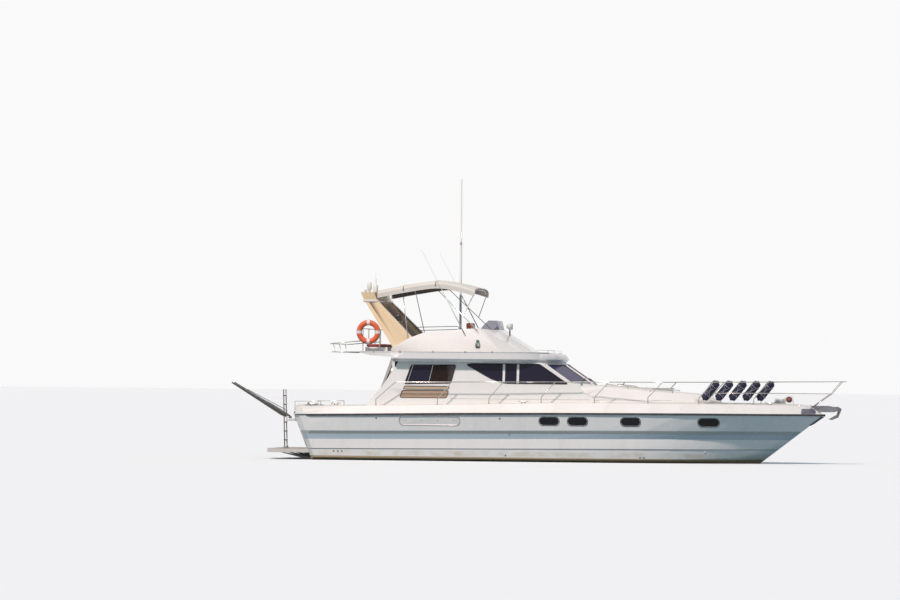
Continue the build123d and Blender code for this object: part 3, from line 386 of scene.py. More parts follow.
def new_tree(name, sizes):
    """An empty node tree with a geometry input, named sizes and a finish."""
    tree = bpy.data.node_groups.new(name, "GeometryNodeTree")
    tree.interface.new_socket("Geometry", in_out="INPUT", socket_type="NodeSocketGeometry")
    for size in sizes:
        kind = "NodeSocketInt" if size == "Sides" else "NodeSocketFloat"
        tree.interface.new_socket(size, in_out="INPUT", socket_type=kind)
    tree.interface.new_socket("Finish", in_out="INPUT", socket_type="NodeSocketMaterial")
    tree.interface.new_socket("Geometry", in_out="OUTPUT", socket_type="NodeSocketGeometry")
    return tree, Wire(tree.nodes.new("NodeGroupInput").outputs["Geometry"])


def close_tree(shape, inputs, smooth=True):
    """Ends a tree: rounded shading, real geometry in place of instances, and the finish."""
    real = shape.add("GeometryNodeRealizeInstances", None, {0: shape})
    sockets = {"Geometry": real, "Shade Smooth": smooth}
    shaded = real.add("GeometryNodeSetShadeSmooth", None, sockets)
    sockets = {"Geometry": shaded, "Material": Wire(inputs["Finish"])}
    made = shaded.add("GeometryNodeSetMaterial", None, sockets)
    end = made.tree.nodes.new("NodeGroupOutput")
    made.tree.links.new(made.socket, end.inputs["Geometry"])


def settle(piece):
    """Keeps what a piece's modifiers make of it as its plain mesh."""
    seen = piece.evaluated_get(bpy.context.evaluated_depsgraph_get())
    mesh = bpy.data.meshes.new_from_object(seen)
    piece.modifiers.clear()
    piece.data = mesh


def grown(name, base, tree, finish, body, **sizes):
    """Runs a tree on a base mesh, keeps the result as a plain mesh and rides it on a body."""
    piece = linked(name, base)
    growth = piece.modifiers.new("growth", "NODES")
    growth.node_group = tree
    for socket in tree.interface.items_tree:
        if socket.in_out == "INPUT" and socket.name != "Geometry":
            growth[socket.identifier] = finish if socket.name == "Finish" else sizes[socket.name]
    bpy.context.view_layer.update()
    settle(piece)
    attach(piece, body)
    return piece


# Geometry tree for round bars, pipes, seals and ropes that follow runs of points.
bar_tree, flow = new_tree("round_bars", ("Radius", "Sides"))
inputs = flow.socket.node.outputs
path = flow.add("GeometryNodeMeshToCurve", None, {"Mesh": flow})
sockets = {"Radius": Wire(inputs["Radius"]), "Resolution": Wire(inputs["Sides"])}
ring = flow.add("GeometryNodeCurvePrimitiveCircle", {"mode": "RADIUS"}, sockets)
sockets = {"Curve": path, "Profile Curve": ring, "Fill Caps": True}
close_tree(path.add("GeometryNodeCurveToMesh", None, sockets), inputs)

# Geometry tree for screws, studs, flanges and other turned bits set along a surface.
stud_tree, flow = new_tree("set_studs", ("Radius", "Height", "Crown", "Sides"))
inputs = flow.socket.node.outputs
sockets = {
    "Vertices": Wire(inputs["Sides"]), "Radius Bottom": Wire(inputs["Radius"]),
    "Radius Top": Wire(inputs["Crown"]), "Depth": Wire(inputs["Height"]),
}
stud = flow.add("GeometryNodeMeshCone", {"fill_type": "NGON"}, sockets)
kind = {"data_type": "FLOAT_VECTOR"}
outward = flow.add("GeometryNodeInputNamedAttribute", kind, {"Name": "outward"})
turned = outward.add("FunctionNodeAlignRotationToVector", {"axis": "Z"}, {"Vector": outward})
sockets = {"Points": flow, "Instance": stud, "Rotation": turned}
copies = flow.add("GeometryNodeInstanceOnPoints", None, sockets)
close_tree(copies, inputs, smooth=False)


def bars(name, routes, finish, radius, sides, body="root", closed=False):
    """Round bars along runs of points, each run joined to its own start if closed."""
    points, edges = [], []
    for route in routes:
        start = len(points)
        points += [tuple(point) for point in route]
        edges += [(start + k, start + k + 1) for k in range(len(route) - 1)]
        if closed:
            edges.append((len(points) - 1, start))
    base = bpy.data.meshes.new(name)
    base.from_pydata(points, edges, [])
    return grown(name, base, bar_tree, finish, body, Radius=radius, Sides=sides)


def studs(name, places, finish, radius, height, crown, sides):
    """Turned bits at points that each have a direction; crown is the radius at the outer end."""
    base = bpy.data.meshes.new(name)
    base.from_pydata([tuple(point) for point, direction in places], [], [])
    outward = base.attributes.new("outward", "FLOAT_VECTOR", "POINT")
    for row, (point, direction) in zip(outward.data, places):
        row.vector = direction
    sizes = {"Radius": radius, "Height": height, "Crown": crown, "Sides": sides}
    return grown(name, base, stud_tree, finish, "root", **sizes)


def surface_of(*names):
    """A ray target made of CAD nodes at rest."""
    shape = bmesh.new()
    for name in names:
        shape.from_mesh(nodes[name].data)
    tree = BVHTree.FromBMesh(shape)
    shape.free()
    return tree


def on_side(tree, x, z, side, proud):
    """Point and normal where the side's skin lies at x and z, stood proud of it."""
    abeam = Vector((x, side * 6.0, z))
    point, normal, _, _ = tree.ray_cast(abeam, Vector((0.0, -side, 0.0)))
    return point + normal * proud, normal


def traced(tree, outline, side, proud):
    """Points in x and z laid on a side's skin, stood proud of it."""
    return [on_side(tree, x, z, side, proud)[0] for x, z in outline]


def rounded_box(x_low, x_high, z_low, z_high, radius, steps=5, gap=0.0):
    """Points round a box with rounded corners, as (x, z), a gap outside it."""
    x_low, x_high, z_low, z_high, radius = (
        x_low - gap, x_high + gap, z_low - gap, z_high + gap, radius + gap
    )
    outline = []
    for x, z, start in (
        (x_high - radius, z_high - radius, 0), (x_low + radius, z_high - radius, 90),
        (x_low + radius, z_low + radius, 180), (x_high - radius, z_low + radius, 270),
    ):
        for k in range(steps + 1):
            angle = math.radians(start + 90 * k / steps)
            outline.append((x + radius * math.cos(angle), z + radius * math.sin(angle)))
    return outline


hull_surface = surface_of("hull")
hull_window_rows = ((-0.38, 0.20), (0.47, 1.05), (2.05, 2.62), (4.32, 4.92))
window_box = (1.11, 1.34, 0.10)
seal_gap = 0.014
seal_rings = []
for side in (-1, 1):
    for x_low, x_high in hull_window_rows:
        outline = rounded_box(x_low, x_high, *window_box, gap=seal_gap)
        seal_rings.append(traced(hull_surface, outline, side, 0.001))
bars("hull_window_seals", seal_rings, seal_rubber, 0.011, 6, closed=True)
intake_box = (-4.60, -2.79, 1.09, 1.34, 0.116)
screw_aft, screw_pitch, screw_height = -4.42, 0.485, 1.215
intake_outline = rounded_box(*intake_box, steps=6, gap=seal_gap)
intake_rings = [traced(hull_surface, intake_outline, side, 0.002) for side in (-1, 1)]
vent_surface = surface_of("engine_vents", "hull")
intake_screws = [
    on_side(vent_surface, screw_aft + screw_pitch * k, screw_height, side, 0.001)
    for side in (-1, 1)
    for k in range(4)
]
bars("intake_frames", intake_rings, bright_frame, 0.015, 8, closed=True)
studs("intake_screws", intake_screws, bright_frame, 0.016, 0.008, 0.010, 10)

# Skin fittings: turned outlets through the topside, each with a bright flange round a
# near-black disc in its bore, painted shade in the hole; ten of them to starboard and five to port.
outlet_places = (
    (-6.63, 0.27), (-6.50, 0.27), (-6.38, 0.27), (4.48, 0.33), (-1.57, 1.29), (-1.30, 0.82),
    (-1.42, 0.19), (2.59, 0.17), (2.70, 0.17), (-5.31, 1.27),
)
near_black_finish = mottled("outlet_bore", 30.0, (0.01, 0.01, 0.01), (0.05, 0.045, 0.04), Roughness=0.7)
flanges = [on_side(hull_surface, x, z, -1, 0.002) for x, z in outlet_places]
flanges += [on_side(hull_surface, x, z, 1, 0.002) for x, z in outlet_places[:5]]
# The bores are near-black discs: painted shade inside the outlets.
bores = [(point + normal * 0.003, normal) for point, normal in flanges]
studs("outlet_flanges", flanges, bright_frame, 0.030, 0.008, 0.024, 14)
studs("outlet_bores", bores, near_black_finish, 0.018, 0.007, 0.016, 12)

# Rub rail and stem guard: extruded black rubber over the joint of hull and deck, greyed
# in patches by the sun.
rubber, shader, place = new_finish("rub_rail_rubber", Roughness=0.5)
bleached = noise(place, 7.0).step(0.3, 0.8)
paint(shader, bleached.blend((0.014, 0.014, 0.016), (0.06, 0.06, 0.065)))
bump(shader, noise(place, 60.0), 0.001)
smoothed("rub_rail", rubber, 30.0)

# Deck and coachroof: white gelcoat, dulled by weather and streaked where rain runs off. What
# is walked on carries a fine moulded grip pattern in a warmer white.
stainless = mottled(
    "stainless_tube", 9.0, (0.36, 0.34, 0.32), (0.56, 0.55, 0.53), rough=(14.0, 0.16, 0.16),
    Metallic=1.0,
)
deck_paint, shader, place = new_finish(
    "deck_gelcoat", Coat_Weight=0.08, Coat_Roughness=0.4, Specular_IOR_Level=0.2
)
along, across, height = axes(place)
level = surface_normal(place)[2].step(0.93, 0.985)
white = (noise(place, 0.9).step(0.4, 0.8) * 0.5).blend(gelcoat_white, gelcoat_aged)
runoff = noise(stretched(place, 7.0, 7.0, 0.5), 1.0).step(0.55, 0.85) * (1 - level) * 0.35
aged = runoff.blend(white, (0.62, 0.58, 0.50))
paint(shader, (level * 0.8).blend(aged, (0.66, 0.64, 0.585)))
feed(shader, "Roughness", level * 0.2 + 0.42)


def cellular(place, scale):
    """Distance to the nearest point of a scatter, for grips and perforations."""
    return place.add("ShaderNodeTexVoronoi", {"feature": "F1"}, {"Vector": place, "Scale": scale})


bump(shader, (1 - cellular(place, 90.0).step(0.1, 0.45)) * level, 0.0015)
smoothed("deck", deck_paint, 26.0)
smoothed("coachroof", deck_paint, 34.0)

# Bow plates: thin perforated steel on both sides of the stem, where the anchor would chafe,
# bent to the form of the deck's edge and cut off at a slant ahead.
mesh_steel, shader, place = new_finish("perforated_steel", Metallic=0.9, Roughness=0.4)
holes = cellular(place, 55.0).step(0.28, 0.36)
paint(shader, holes.blend((0.02, 0.02, 0.025), (0.20, 0.19, 0.24)))
bump(shader, holes, 0.002)
deck_surface = surface_of("deck", "hull")
plate_foot, plate_head, plate_aft, plate_pitch = 1.50, 1.655, 7.27, 0.05
slant_x, slant_head, slant_fall = 7.56, 1.67, 0.75


def woven(shape, rows, turned=False):
    """Faces between rows of corners; turned makes them face the other way."""
    for before, after in zip(rows, rows[1:]):
        for k in range(len(before) - 1):
            face = (before[k], after[k], after[k + 1], before[k + 1])
            shape.faces.new(tuple(reversed(face)) if turned else face)


def thickened(piece, thickness):
    """Gives a thin sheet a wall on its inner side."""
    wall = piece.modifiers.new("wall", "SOLIDIFY")
    wall.thickness = thickness
    wall.offset = -1.0
    return wall


for side, side_name in ((-1, "starboard"), (1, "port")):
    shape = bmesh.new()
    rows = []
    for k in range(9):
        x = plate_aft + plate_pitch * k
        rise = min(plate_head, slant_head - slant_fall * (x - slant_x)) - plate_foot
        column = [(x, plate_foot + rise * t / 3) for t in range(4)]
        rows.append([shape.verts.new(spot) for spot in traced(deck_surface, column, side, 0.004)])
    woven(shape, rows, turned=side > 0)
    plate = linked(f"bow_plate_{side_name}", as_mesh("bow_plate", shape, mesh_steel))
    thickened(plate, 0.005)
    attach(plate, "root")

# Foredeck hatch: satin aluminium frame with a smoked acrylic lid on two hinges, sealed by a
# rubber profile; and steel hand rails on each side of the coachroof.
aluminium, shader, place = new_finish("satin_aluminium", Metallic=1.0)
brushed = stretched(place, 3.0, 60.0, 60.0)
paint(shader, noise(brushed, 2.0).blend((0.45, 0.46, 0.47), (0.60, 0.61, 0.62)))
feed(shader, "Roughness", noise(brushed, 3.0) * 0.2 + 0.32)
smoked, shader, place = new_finish("smoked_acrylic", Roughness=0.08, Coat_Weight=0.3)
rim = abs(axes(place)[1]).step(0.245, 0.255)
paint(shader, rim.blend((0.035, 0.035, 0.045), (0.40, 0.41, 0.42)))
smoothed("hatch_frame", aluminium)
smoothed("hatch_lid", smoked)
smoothed("handrails", stainless, 75.0)
hatch_seal = [(x, y, 2.216) for x, y in ((2.78, -0.27), (3.32, -0.27), (3.32, 0.27), (2.78, 0.27))]
bars("hatch_seal", [hatch_seal], seal_rubber, 0.006, 6, closed=True)


# Cockpit: teak planks 55 mm wide with black caulking, laid on the sole and the engine hatch,
# which has a flush lifting ring, and on the saloon's sole.
def gaps(count, low, high):
    """1 in the gaps between strips that a wire counts, 0 along the strips' middles."""
    return abs(count.math("FRACT", count) - 0.5).step(low, high)


teak, shader, place = new_finish("teak_planks", Roughness=0.6)
along, across, height = axes(place)
plank_width = 0.055
plank = across / plank_width
caulk = gaps(plank, 0.44, 0.47)
sockets = {"W": plank.math("FLOOR", plank)}
tone = place.add("ShaderNodeTexWhiteNoise", {"noise_dimensions": "1D"}, sockets)
grain = noise(stretched(place, 3.0, 70.0, 70.0), 1.0)
wood = (tone * 0.5 + grain * 0.5).blend((0.21, 0.125, 0.07), (0.40, 0.28, 0.17))
paint(shader, caulk.blend(wood, (0.015, 0.015, 0.015)))
bump(shader, grain * 0.3 - caulk, 0.002)
smoothed("cockpit_sole", teak)
smoothed("engine_hatch", teak)
smoothed("saloon_sole", teak)


def circle(steps):
    """Cosine and sine at even steps round a full turn."""
    turns = [math.tau * k / steps for k in range(steps)]
    return [(math.cos(turn), math.sin(turn)) for turn in turns]


lift_x, lift_radius, lift_height = -6.50, 0.035, 1.106
lifting_ring = [(lift_x + lift_radius * c, lift_radius * s, lift_height) for c, s in circle(16)]
bars("hatch_lifting_ring", [lifting_ring], stainless, 0.005, 8, "engine_hatch", closed=True)

# Swim platform: white moulding with teak let into its top and its sides painted near-black low
# down as painted shade underneath; the gate above it is a moulded panel, and the folded ladder
# has teak treads clamped on its rungs.
platform_paint, shader, place = new_finish("platform_gelcoat", Coat_Weight=0.15)
along, across, height = axes(place)
tread_area = surface_normal(place)[2].step(0.9, 0.95) * (1 - along.step(-7.62, -7.60))
grain = noise(stretched(place, 3.0, 60.0, 60.0), 1.0)
wood = grain.blend((0.20, 0.14, 0.10), (0.36, 0.28, 0.20))
planked = gaps(across / plank_width, 0.44, 0.47).blend(wood, (0.02, 0.02, 0.02))
# Below 0.21 m the platform's sides are painted near-black: painted shade underneath.
under = 1 - height.step(0.205, 0.215)
side_white_and_painted_shade = under.blend((0.60, 0.585, 0.55), (0.10, 0.105, 0.11))
paint(shader, tread_area.blend(side_white_and_painted_shade, planked))
feed(shader, "Roughness", tread_area * 0.3 + 0.3)
smoothed("swim_platform", platform_paint, 30.0, 0.012)
moulding_paint, shader, place = new_finish("moulding_gelcoat", Coat_Weight=0.3, Coat_Roughness=0.12)
runoff = noise(stretched(place, 6.0, 6.0, 0.5), 1.0).step(0.55, 0.9) * 0.3
soiled = (noise(place, 0.8).step(0.4, 0.8) * 0.5).blend(gelcoat_white, gelcoat_aged)
paint(shader, runoff.blend(soiled, (0.64, 0.61, 0.55)))
uneven(shader, place, 5.0, 0.12, 0.2)
bump(shader, noise(place, 1.1, 1.0), 0.004)
smoothed("transom_gate", moulding_paint, 30.0, 0.006)
dark_tube = mottled(
    "weathered_tube", 11.0, (0.10, 0.095, 0.09), (0.22, 0.21, 0.20), rough=(16.0, 0.25, 0.3),
    Metallic=0.8,
)
smoothed("boarding_ladder", dark_tube, 75.0)


def bridge(shape, before, after):
    """Faces between two rings of corners."""
    for k in range(len(before)):
        follow = (k + 1) % len(before)
        shape.faces.new((before[k], before[follow], after[follow], after[k]))


def rounded_slab(shape, low, high, radius):
    """Adds a closed slab with rounded corners in plan to a mesh being built."""
    outline = rounded_box(low[0], high[0], low[1], high[1], radius, 3)
    bottom = [shape.verts.new((x, y, low[2])) for x, y in outline]
    top = [shape.verts.new((x, y, high[2])) for x, y in outline]
    shape.faces.new(list(reversed(bottom)))
    shape.faces.new(top)
    bridge(shape, bottom, top)


def built(name, shape, finish, body="root", edge=0.0):
    """Turns a finished bmesh into a piece on a body, with its corners eased if asked."""
    bmesh.ops.recalc_face_normals(shape, faces=shape.faces)
    mesh = as_mesh(name, shape, finish)
    mesh.shade_smooth()
    mesh.set_sharp_from_angle(angle=math.radians(35.0))
    piece = linked(name, mesh)
    if edge:
        ease(piece, edge)
    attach(piece, body)
    return piece


tread_wood, shader, place = new_finish("tread_teak", Roughness=0.6)
grain = noise(stretched(place, 40.0, 3.0, 40.0), 1.0)
paint(shader, grain.blend((0.18, 0.11, 0.065), (0.34, 0.23, 0.14)))
bump(shader, grain, 0.001)
ladder_foot, ladder_lean = Vector((-8.48, 0.0, 0.345)), 0.05 / 1.755
tread_depth, tread_half, tread_pitch = 0.038, 0.172, 0.27
shape = bmesh.new()
for k in range(6):
    z = 0.55 + tread_pitch * k
    x = ladder_foot.x - (z - ladder_foot.z) * ladder_lean
    low = (x - tread_depth, -tread_half, z + 0.009)
    rounded_slab(shape, low, (x + tread_depth, tread_half, z + 0.025), 0.015)
built("ladder_treads", shape, tread_wood, "boarding_ladder", 0.003)

# Passerelle: dark anodised frame with grating treads and a folded hand rail, on a satin
# aluminium foot, with a lashing along its starboard side.
gangway, shader, place = new_finish("dark_anodised", Metallic=0.7)
along, across, height = axes(place)
grille = gaps(across / 0.03, 0.3, 0.4)
metal = noise(place, 10.0).blend((0.045, 0.042, 0.04), (0.10, 0.095, 0.09))
paint(shader, (grille * 0.5).blend(metal, (0.02, 0.02, 0.02)))
uneven(shader, place, 12.0, 0.2, 0.35)
smoothed("passerelle", gangway, 40.0, 0.004)
smoothed("passerelle_foot", aluminium, 30.0, 0.004)
rail_start, rail_end = Vector((-8.19, -1.445, 1.42)), Vector((-9.47, -1.445, 2.10))
bars("passerelle_lashing", [[rail_start, rail_end]], bright_frame, 0.008, 6, "passerelle")

# Cabin: glass-fibre sides in the white of the other mouldings, with windows in rubber seals;
# a tan trim strip and a framed locker door lie under the after window.
smoothed("saloon_sides", moulding_paint, 26.0)
smoothed("aft_bulkhead", moulding_paint, 30.0)
locker_tan, shader, place = new_finish("locker_veneer", Coat_Weight=0.2)
along, across, height = axes(place)
grain = noise(stretched(place, 2.0, 8.0, 30.0), 2.5)
veneer = grain.blend((0.31, 0.20, 0.13), (0.46, 0.33, 0.23))
strip = height.step(2.13, 2.14).blend(veneer, (0.50, 0.385, 0.27))
paint(shader, strip)
feed(shader, "Roughness", grain * 0.2 + 0.35)
bump(shader, grain, 0.0008)
smoothed("side_lockers", locker_tan)
aft_window = ((-4.55, 2.30), (-3.14, 2.33), (-3.00, 2.88), (-4.36, 2.87))
forward_window = (
    (-2.69, 2.89), (-1.93, 2.47), (-1.58, 2.355), (-1.40, 2.335), (0.40, 2.335), (-0.48, 2.925),
    (-2.56, 2.925),
)
locker_frame = ((-4.675, 1.89), (-3.26, 1.89), (-3.21, 2.11), (-4.605, 2.11))
trim_frame = ((-4.59, 2.145), (-3.20, 2.145), (-3.18, 2.235), (-4.55, 2.235))
cabin_foot, cabin_half, cabin_lean = 1.7, 1.8, 0.142


def cabin_y(z):
    """Half breadth of the cabin at a height."""
    return cabin_half - cabin_lean * (z - cabin_foot)


def outset(outline, reach=0.0):
    """A closed outline moved outwards by a small reach, with its corners cut a little round."""
    count, cut, lead = len(outline), 0.05, 0.015
    middle = sum((Vector(corner) for corner in outline), Vector((0.0, 0.0))) / count
    moved = []
    for k, corner in enumerate(outline):
        corner = Vector(corner)
        back = (Vector(outline[k - 1]) - corner).normalized()
        ahead = (Vector(outline[(k + 1) % count]) - corner).normalized()
        away = (corner - middle).normalized() * reach
        for lean in (back * cut, (back + ahead) * lead, ahead * cut):
            moved.append(corner + away + lean)
    return moved


def side_rings(outline, reach, proud):
    """The outline on both cabin sides, stood proud of them."""
    points = outset(outline, reach)
    return [[(x, side * (cabin_y(z) + proud), z) for x, z in points] for side in (-1, 1)]


window_rings = side_rings(aft_window, 0.0, 0.002) + side_rings(forward_window, 0.0, 0.002)
bars("side_window_seals", window_rings, seal_rubber, 0.013, 6, closed=True)
frame_rings = side_rings(locker_frame, 0.006, 0.003) + side_rings(trim_frame, 0.004, 0.002)
bars("locker_frames", frame_rings, near_black_finish, 0.010, 6, closed=True)
knob_x, knob_z = -3.365, 1.997
knobs = [
    (Vector((knob_x, side * cabin_y(knob_z), knob_z)), Vector((0, side, cabin_lean)))
    for side in (-1, 1)
]
studs("locker_knobs", knobs, bright_frame, 0.022, 0.02, 0.014, 14)
pane_edges = (
    (-0.006, ((-3.82, 2.315), (-3.70, 2.875))), (0.004, ((-4.475, 2.30), (-4.30, 2.87))),
)
window_bars = [
    [(x, side * (cabin_y(z) + proud), z) for x, z in ends]
    for side in (-1, 1)
    for proud, ends in pane_edges
]
bars("sliding_pane_bars", window_bars, bright_frame, 0.012, 6)

# Saloon glass: smoked and toughened, painted a near-opaque dark navy that stands in as painted
# shade for the dim saloon behind it, but for the sliding pane of the after window, which shows
# the wood inside.
glass_values = {"Roughness": 0.04, "IOR": 1.5}
side_glass, shader, place = new_finish("smoked_glass", Specular_IOR_Level=0.2, **glass_values)
along, across, height = axes(place)
clear = along.band(-3.775, -2.9, 0.01) * height.step(2.2, 2.3)
paint(shader, clear.blend((0.016, 0.014, 0.034), (0.03, 0.016, 0.012)))
feed(shader, "Alpha", 0.95 - clear * 0.38)
smoothed("saloon_side_glass", side_glass)
screen_glass, shader, place = new_finish(
    "windscreen_glass", Specular_IOR_Level=0.12, **glass_values
)
# The windscreen too is a near-opaque dark blue, painted shade for the dim saloon behind it, with a
# wandering painted sheen.
sheen = noise(stretched(place, 1.5, 1.5, 0.6), 0.8)
paint(shader, sheen.blend((0.018, 0.015, 0.065), (0.042, 0.036, 0.12)))
feed(shader, "Alpha", sheen * 0.04 + 0.95)
smoothed("windscreen", screen_glass)
door_glass, shader, place = new_finish("door_glass", **glass_values)
paint(shader, noise(place, 0.8).blend((0.02, 0.02, 0.03), (0.035, 0.035, 0.045)))
feed(shader, "Alpha", noise(place, 1.2) * 0.06 + 0.72)
smoothed("saloon_door_glass", door_glass)
smoothed("saloon_door", aluminium, 30.0, 0.004)
centre_pane = ((-0.443, 2.335), (0.443, 2.335), (0.358, 2.925), (-0.358, 2.925))
corner_pane = ((0.543, 2.335), (1.61, 2.375), (1.52, 2.925), (0.458, 2.925))
screen_proud = 0.003


def centre_x(z):
    """Where the middle pane's face lies at a height."""
    return 1.938 - 1.47 * (z - cabin_foot)


def corner_x(y, z):
    """Where a corner pane's face lies, abreast and at a height."""
    return (2.016 - 1.414 * (z - cabin_foot) - 0.3795 * abs(y)) / 0.9252


screen_rings = [[(centre_x(z) + screen_proud, y, z) for y, z in outset(centre_pane)]]
for side in (-1, 1):
    screen_rings.append([
        (corner_x(y, z) + screen_proud, side * y, z) for y, z in outset(corner_pane)
    ])
bars("windscreen_seals", screen_rings, moulding_paint, 0.013, 6, closed=True)

# Wipers: black cranked arms, each from a spindle under its pane of the windscreen, parked
# with the blade along the pane's lower edge.
wiper_black = mottled(
    "wiper_black", 20.0, (0.015, 0.015, 0.016), (0.04, 0.04, 0.042), Roughness=0.45,
)


def screen_point(y, z, proud):
    """A point on the windscreen's face, centre or corner, stood proud of it."""
    return Vector((min(centre_x(z), corner_x(y, z)) + proud * 0.6, y, z + proud * 0.8))


wiper_arms, wiper_blades, wiper_hubs = [], [], []
for pivot_y, tip_y in ((-1.25, -0.72), (-0.30, 0.20), (1.25, 0.72)):
    bend_y = (pivot_y + tip_y) / 2
    arm = ((pivot_y, 2.31, 0.03), (bend_y, 2.40, 0.045), (tip_y, 2.46, 0.035))
    blade = ((tip_y - 0.26, 2.40, 0.02), (tip_y + 0.20, 2.50, 0.02))
    wiper_arms.append([screen_point(*spot) for spot in arm])
    wiper_blades.append([screen_point(*spot) for spot in blade])
    wiper_hubs.append((screen_point(pivot_y, 2.31, 0.012), Vector((0.56, 0.0, 0.83))))
bars("wiper_arms", wiper_arms, wiper_black, 0.009, 6)
bars("wiper_blades", wiper_blades, wiper_black, 0.012, 4)
studs("wiper_spindles", wiper_hubs, wiper_black, 0.026, 0.035, 0.016, 12)

# Saloon inside: cherry veneer joinery with beige upholstery on top, a veneered dash with dials
# and a leather-rimmed wheel, all seen only through the glass and the open door.
cherry, shader, place = new_finish("cherry_veneer", Coat_Weight=0.3)
grain = noise(stretched(place, 2.0, 12.0, 12.0), 2.0)
veneer = grain.blend((0.15, 0.07, 0.035), (0.30, 0.16, 0.08))
paint(shader, veneer)
feed(shader, "Roughness", grain * 0.15 + 0.32)
bump(shader, grain, 0.0006)
smoothed("dash", cherry, 30.0, 0.01)
smoothed("saloon_furniture", cherry, 30.0, 0.01)
leather_rim = mottled(
    "wheel_leather", 30.0, (0.02, 0.02, 0.02), (0.05, 0.05, 0.05), grain=(300.0, 0.0005),
    Roughness=0.42,
)
smoothed("flybridge_wheel", leather_rim, 60.0)
smoothed("saloon_wheel", leather_rim, 60.0)

# Flybridge: white moulding with a screwed joint strip round its brow, a grab rail on the fore
# end, and at the helm a console with dials, levers and a leather-rimmed wheel.
smoothed("flybridge", moulding_paint, 26.0)
brow_plan = (
    (-4.95, 1.93), (-4.40, 1.95), (-1.50, 1.95), (-1.15, 1.915), (-0.80, 1.81), (-0.48, 1.64),
    (-0.22, 1.40),
)
strip_grey = mottled(
    "joint_strip", 12.0, (0.34, 0.34, 0.35), (0.52, 0.52, 0.53), rough=(18.0, 0.2, 0.35),
    Metallic=0.4,
)
strip_height, screws_above = 3.262, 0.012
overhang_aft, overhang_fore, overhang_half, brow_half = -5.90, -4.98, 1.702, 1.95
strips = [[(x, side * (y + 0.002), strip_height) for x, y in brow_plan] for side in (-1, 1)]
strips += [
    [(x, side * overhang_half, strip_height - 0.004) for x in (overhang_aft, overhang_fore)]
    for side in (-1, 1)
]
bars("brow_strips", strips, strip_grey, 0.009, 6)
strip_screws = []
for side in (-1, 1):
    for x in (-5.50, -4.66, -3.66, -2.68, -1.86):
        reach = overhang_half + 0.010 if x < overhang_fore else brow_half + 0.008
        spot = Vector((x, side * reach, strip_height + screws_above))
        strip_screws.append((spot, Vector((0, side, 0))))
studs("brow_screws", strip_screws, strip_grey, 0.030, 0.012, 0.018, 12)
grab_rail = ((-0.62, 1.15, 3.27), (-0.62, 1.15, 3.35), (-0.16, 0.80, 3.335), (-0.16, 0.80, 3.23))
grab_routes = [[(x, side * y, z) for x, y, z in grab_rail] for side in (-1, 1)]
white_plastic = mottled(
    "white_housing", 2.5, (0.70, 0.70, 0.69), (0.79, 0.79, 0.78), rough=(8.0, 0.15, 0.3),
    Coat_Weight=0.2,
)
bars("brow_grab_rails", grab_routes, white_plastic, 0.014, 10)
dial_face = mottled(
    "dial_face", 90.0, (0.01, 0.01, 0.012), (0.05, 0.05, 0.055), Roughness=0.15, Coat_Weight=0.6,
)
dial_places, dial_z, dial_radius = (-0.62, -0.40, -0.18, 0.04, 0.80), 3.60, 0.055
dials = [(Vector((-2.152, y, dial_z)), Vector((-1, 0, 0))) for y in dial_places]
dial_rings = [
    [(-2.156, y + dial_radius * c, dial_z + dial_radius * s) for c, s in circle(16)]
    for y in dial_places
]
studs("helm_dials", dials, dial_face, 0.052, 0.006, 0.050, 16)
bars("helm_dial_rings", dial_rings, stainless, 0.006, 6, closed=True)
lever_places = (0.72, 0.78)
levers = [[(-1.93, y, 3.81), (-1.99, y, 3.90), (-2.05, y, 3.93)] for y in lever_places]
bars("helm_levers", levers, stainless, 0.008, 8)
knobs = [(Vector((-2.05, y, 3.915)), Vector((-0.5, 0, 1))) for y in lever_places]
studs("lever_knobs", knobs, wiper_black, 0.020, 0.035, 0.017, 12)
smoothed("flybridge_seat_box", moulding_paint, 30.0, 0.012)
smoothed("flybridge_ladder", stainless, 40.0)

# Wind deflector: lilac-tinted acrylic bent round the fore part of the coaming. It has no
# frame, and a little of what lies behind shows through it.
acrylic, shader, place = new_finish("tinted_acrylic", Roughness=0.05, IOR=1.49)
paint(shader, noise(place, 1.0).blend((0.12, 0.09, 0.19), (0.20, 0.16, 0.29)))
feed(shader, "Alpha", noise(place, 1.5) * 0.1 + 0.50)
smoothed("wind_deflector", acrylic, 26.0)

# Running lights in grey housings with black tops, green to starboard and red to port, and a
# white searchlight with a bright reflector.
lamp_finish, shader, place = new_finish("lamp_housing", Roughness=0.3)
along, across, height = axes(place)
abeam = abs(across).step(1.70, 1.71)
lenses = across.step(-0.1, 0.1).blend((0.01, 0.16, 0.07), (0.35, 0.02, 0.015))
glazed = (height.band(3.552, 3.606, 0.003) * abeam).blend((0.26, 0.26, 0.27), lenses)
reflector = (1 - abeam) * along.step(-1.50, -1.49)
capped = (height.step(3.610, 3.616) * abeam).blend(glazed, (0.02, 0.02, 0.02))
body_white = ((1 - abeam) * height.step(3.93, 3.94)).blend(capped, (0.62, 0.62, 0.62))
paint(shader, reflector.blend(body_white, (0.35, 0.36, 0.38)))
feed(shader, "Metallic", reflector * 0.8)
smoothed("navigation_lights", lamp_finish, 50.0)

# Cushions: foam in red or orange vinyl on the flybridge, and in beige cloth in the saloon. Each
# starts as a slab, swells like a stuffed cover inside its bounds, and is piped along two seams.
vinyls = {}
for name, under, over in (
    ("red_vinyl", (0.26, 0.035, 0.03), (0.40, 0.065, 0.045)),
    ("orange_vinyl", (0.50, 0.10, 0.04), (0.62, 0.15, 0.06)),
):
    vinyls[name], shader, place = new_finish(name, Roughness=0.42)
    paint(shader, noise(place, 4.0).blend(under, over))
    bump(shader, noise(place, 160.0, 2.0) + noise(place, 9.0) * 0.6, 0.002)
beige_fabric, shader, place = new_finish("beige_fabric", Roughness=0.9)
weave = noise(stretched(place, 1.0, 1.0, 3.0), 140.0, 1.0)
paint(shader, weave.blend((0.40, 0.32, 0.24), (0.52, 0.44, 0.34)))
bump(shader, weave, 0.001)


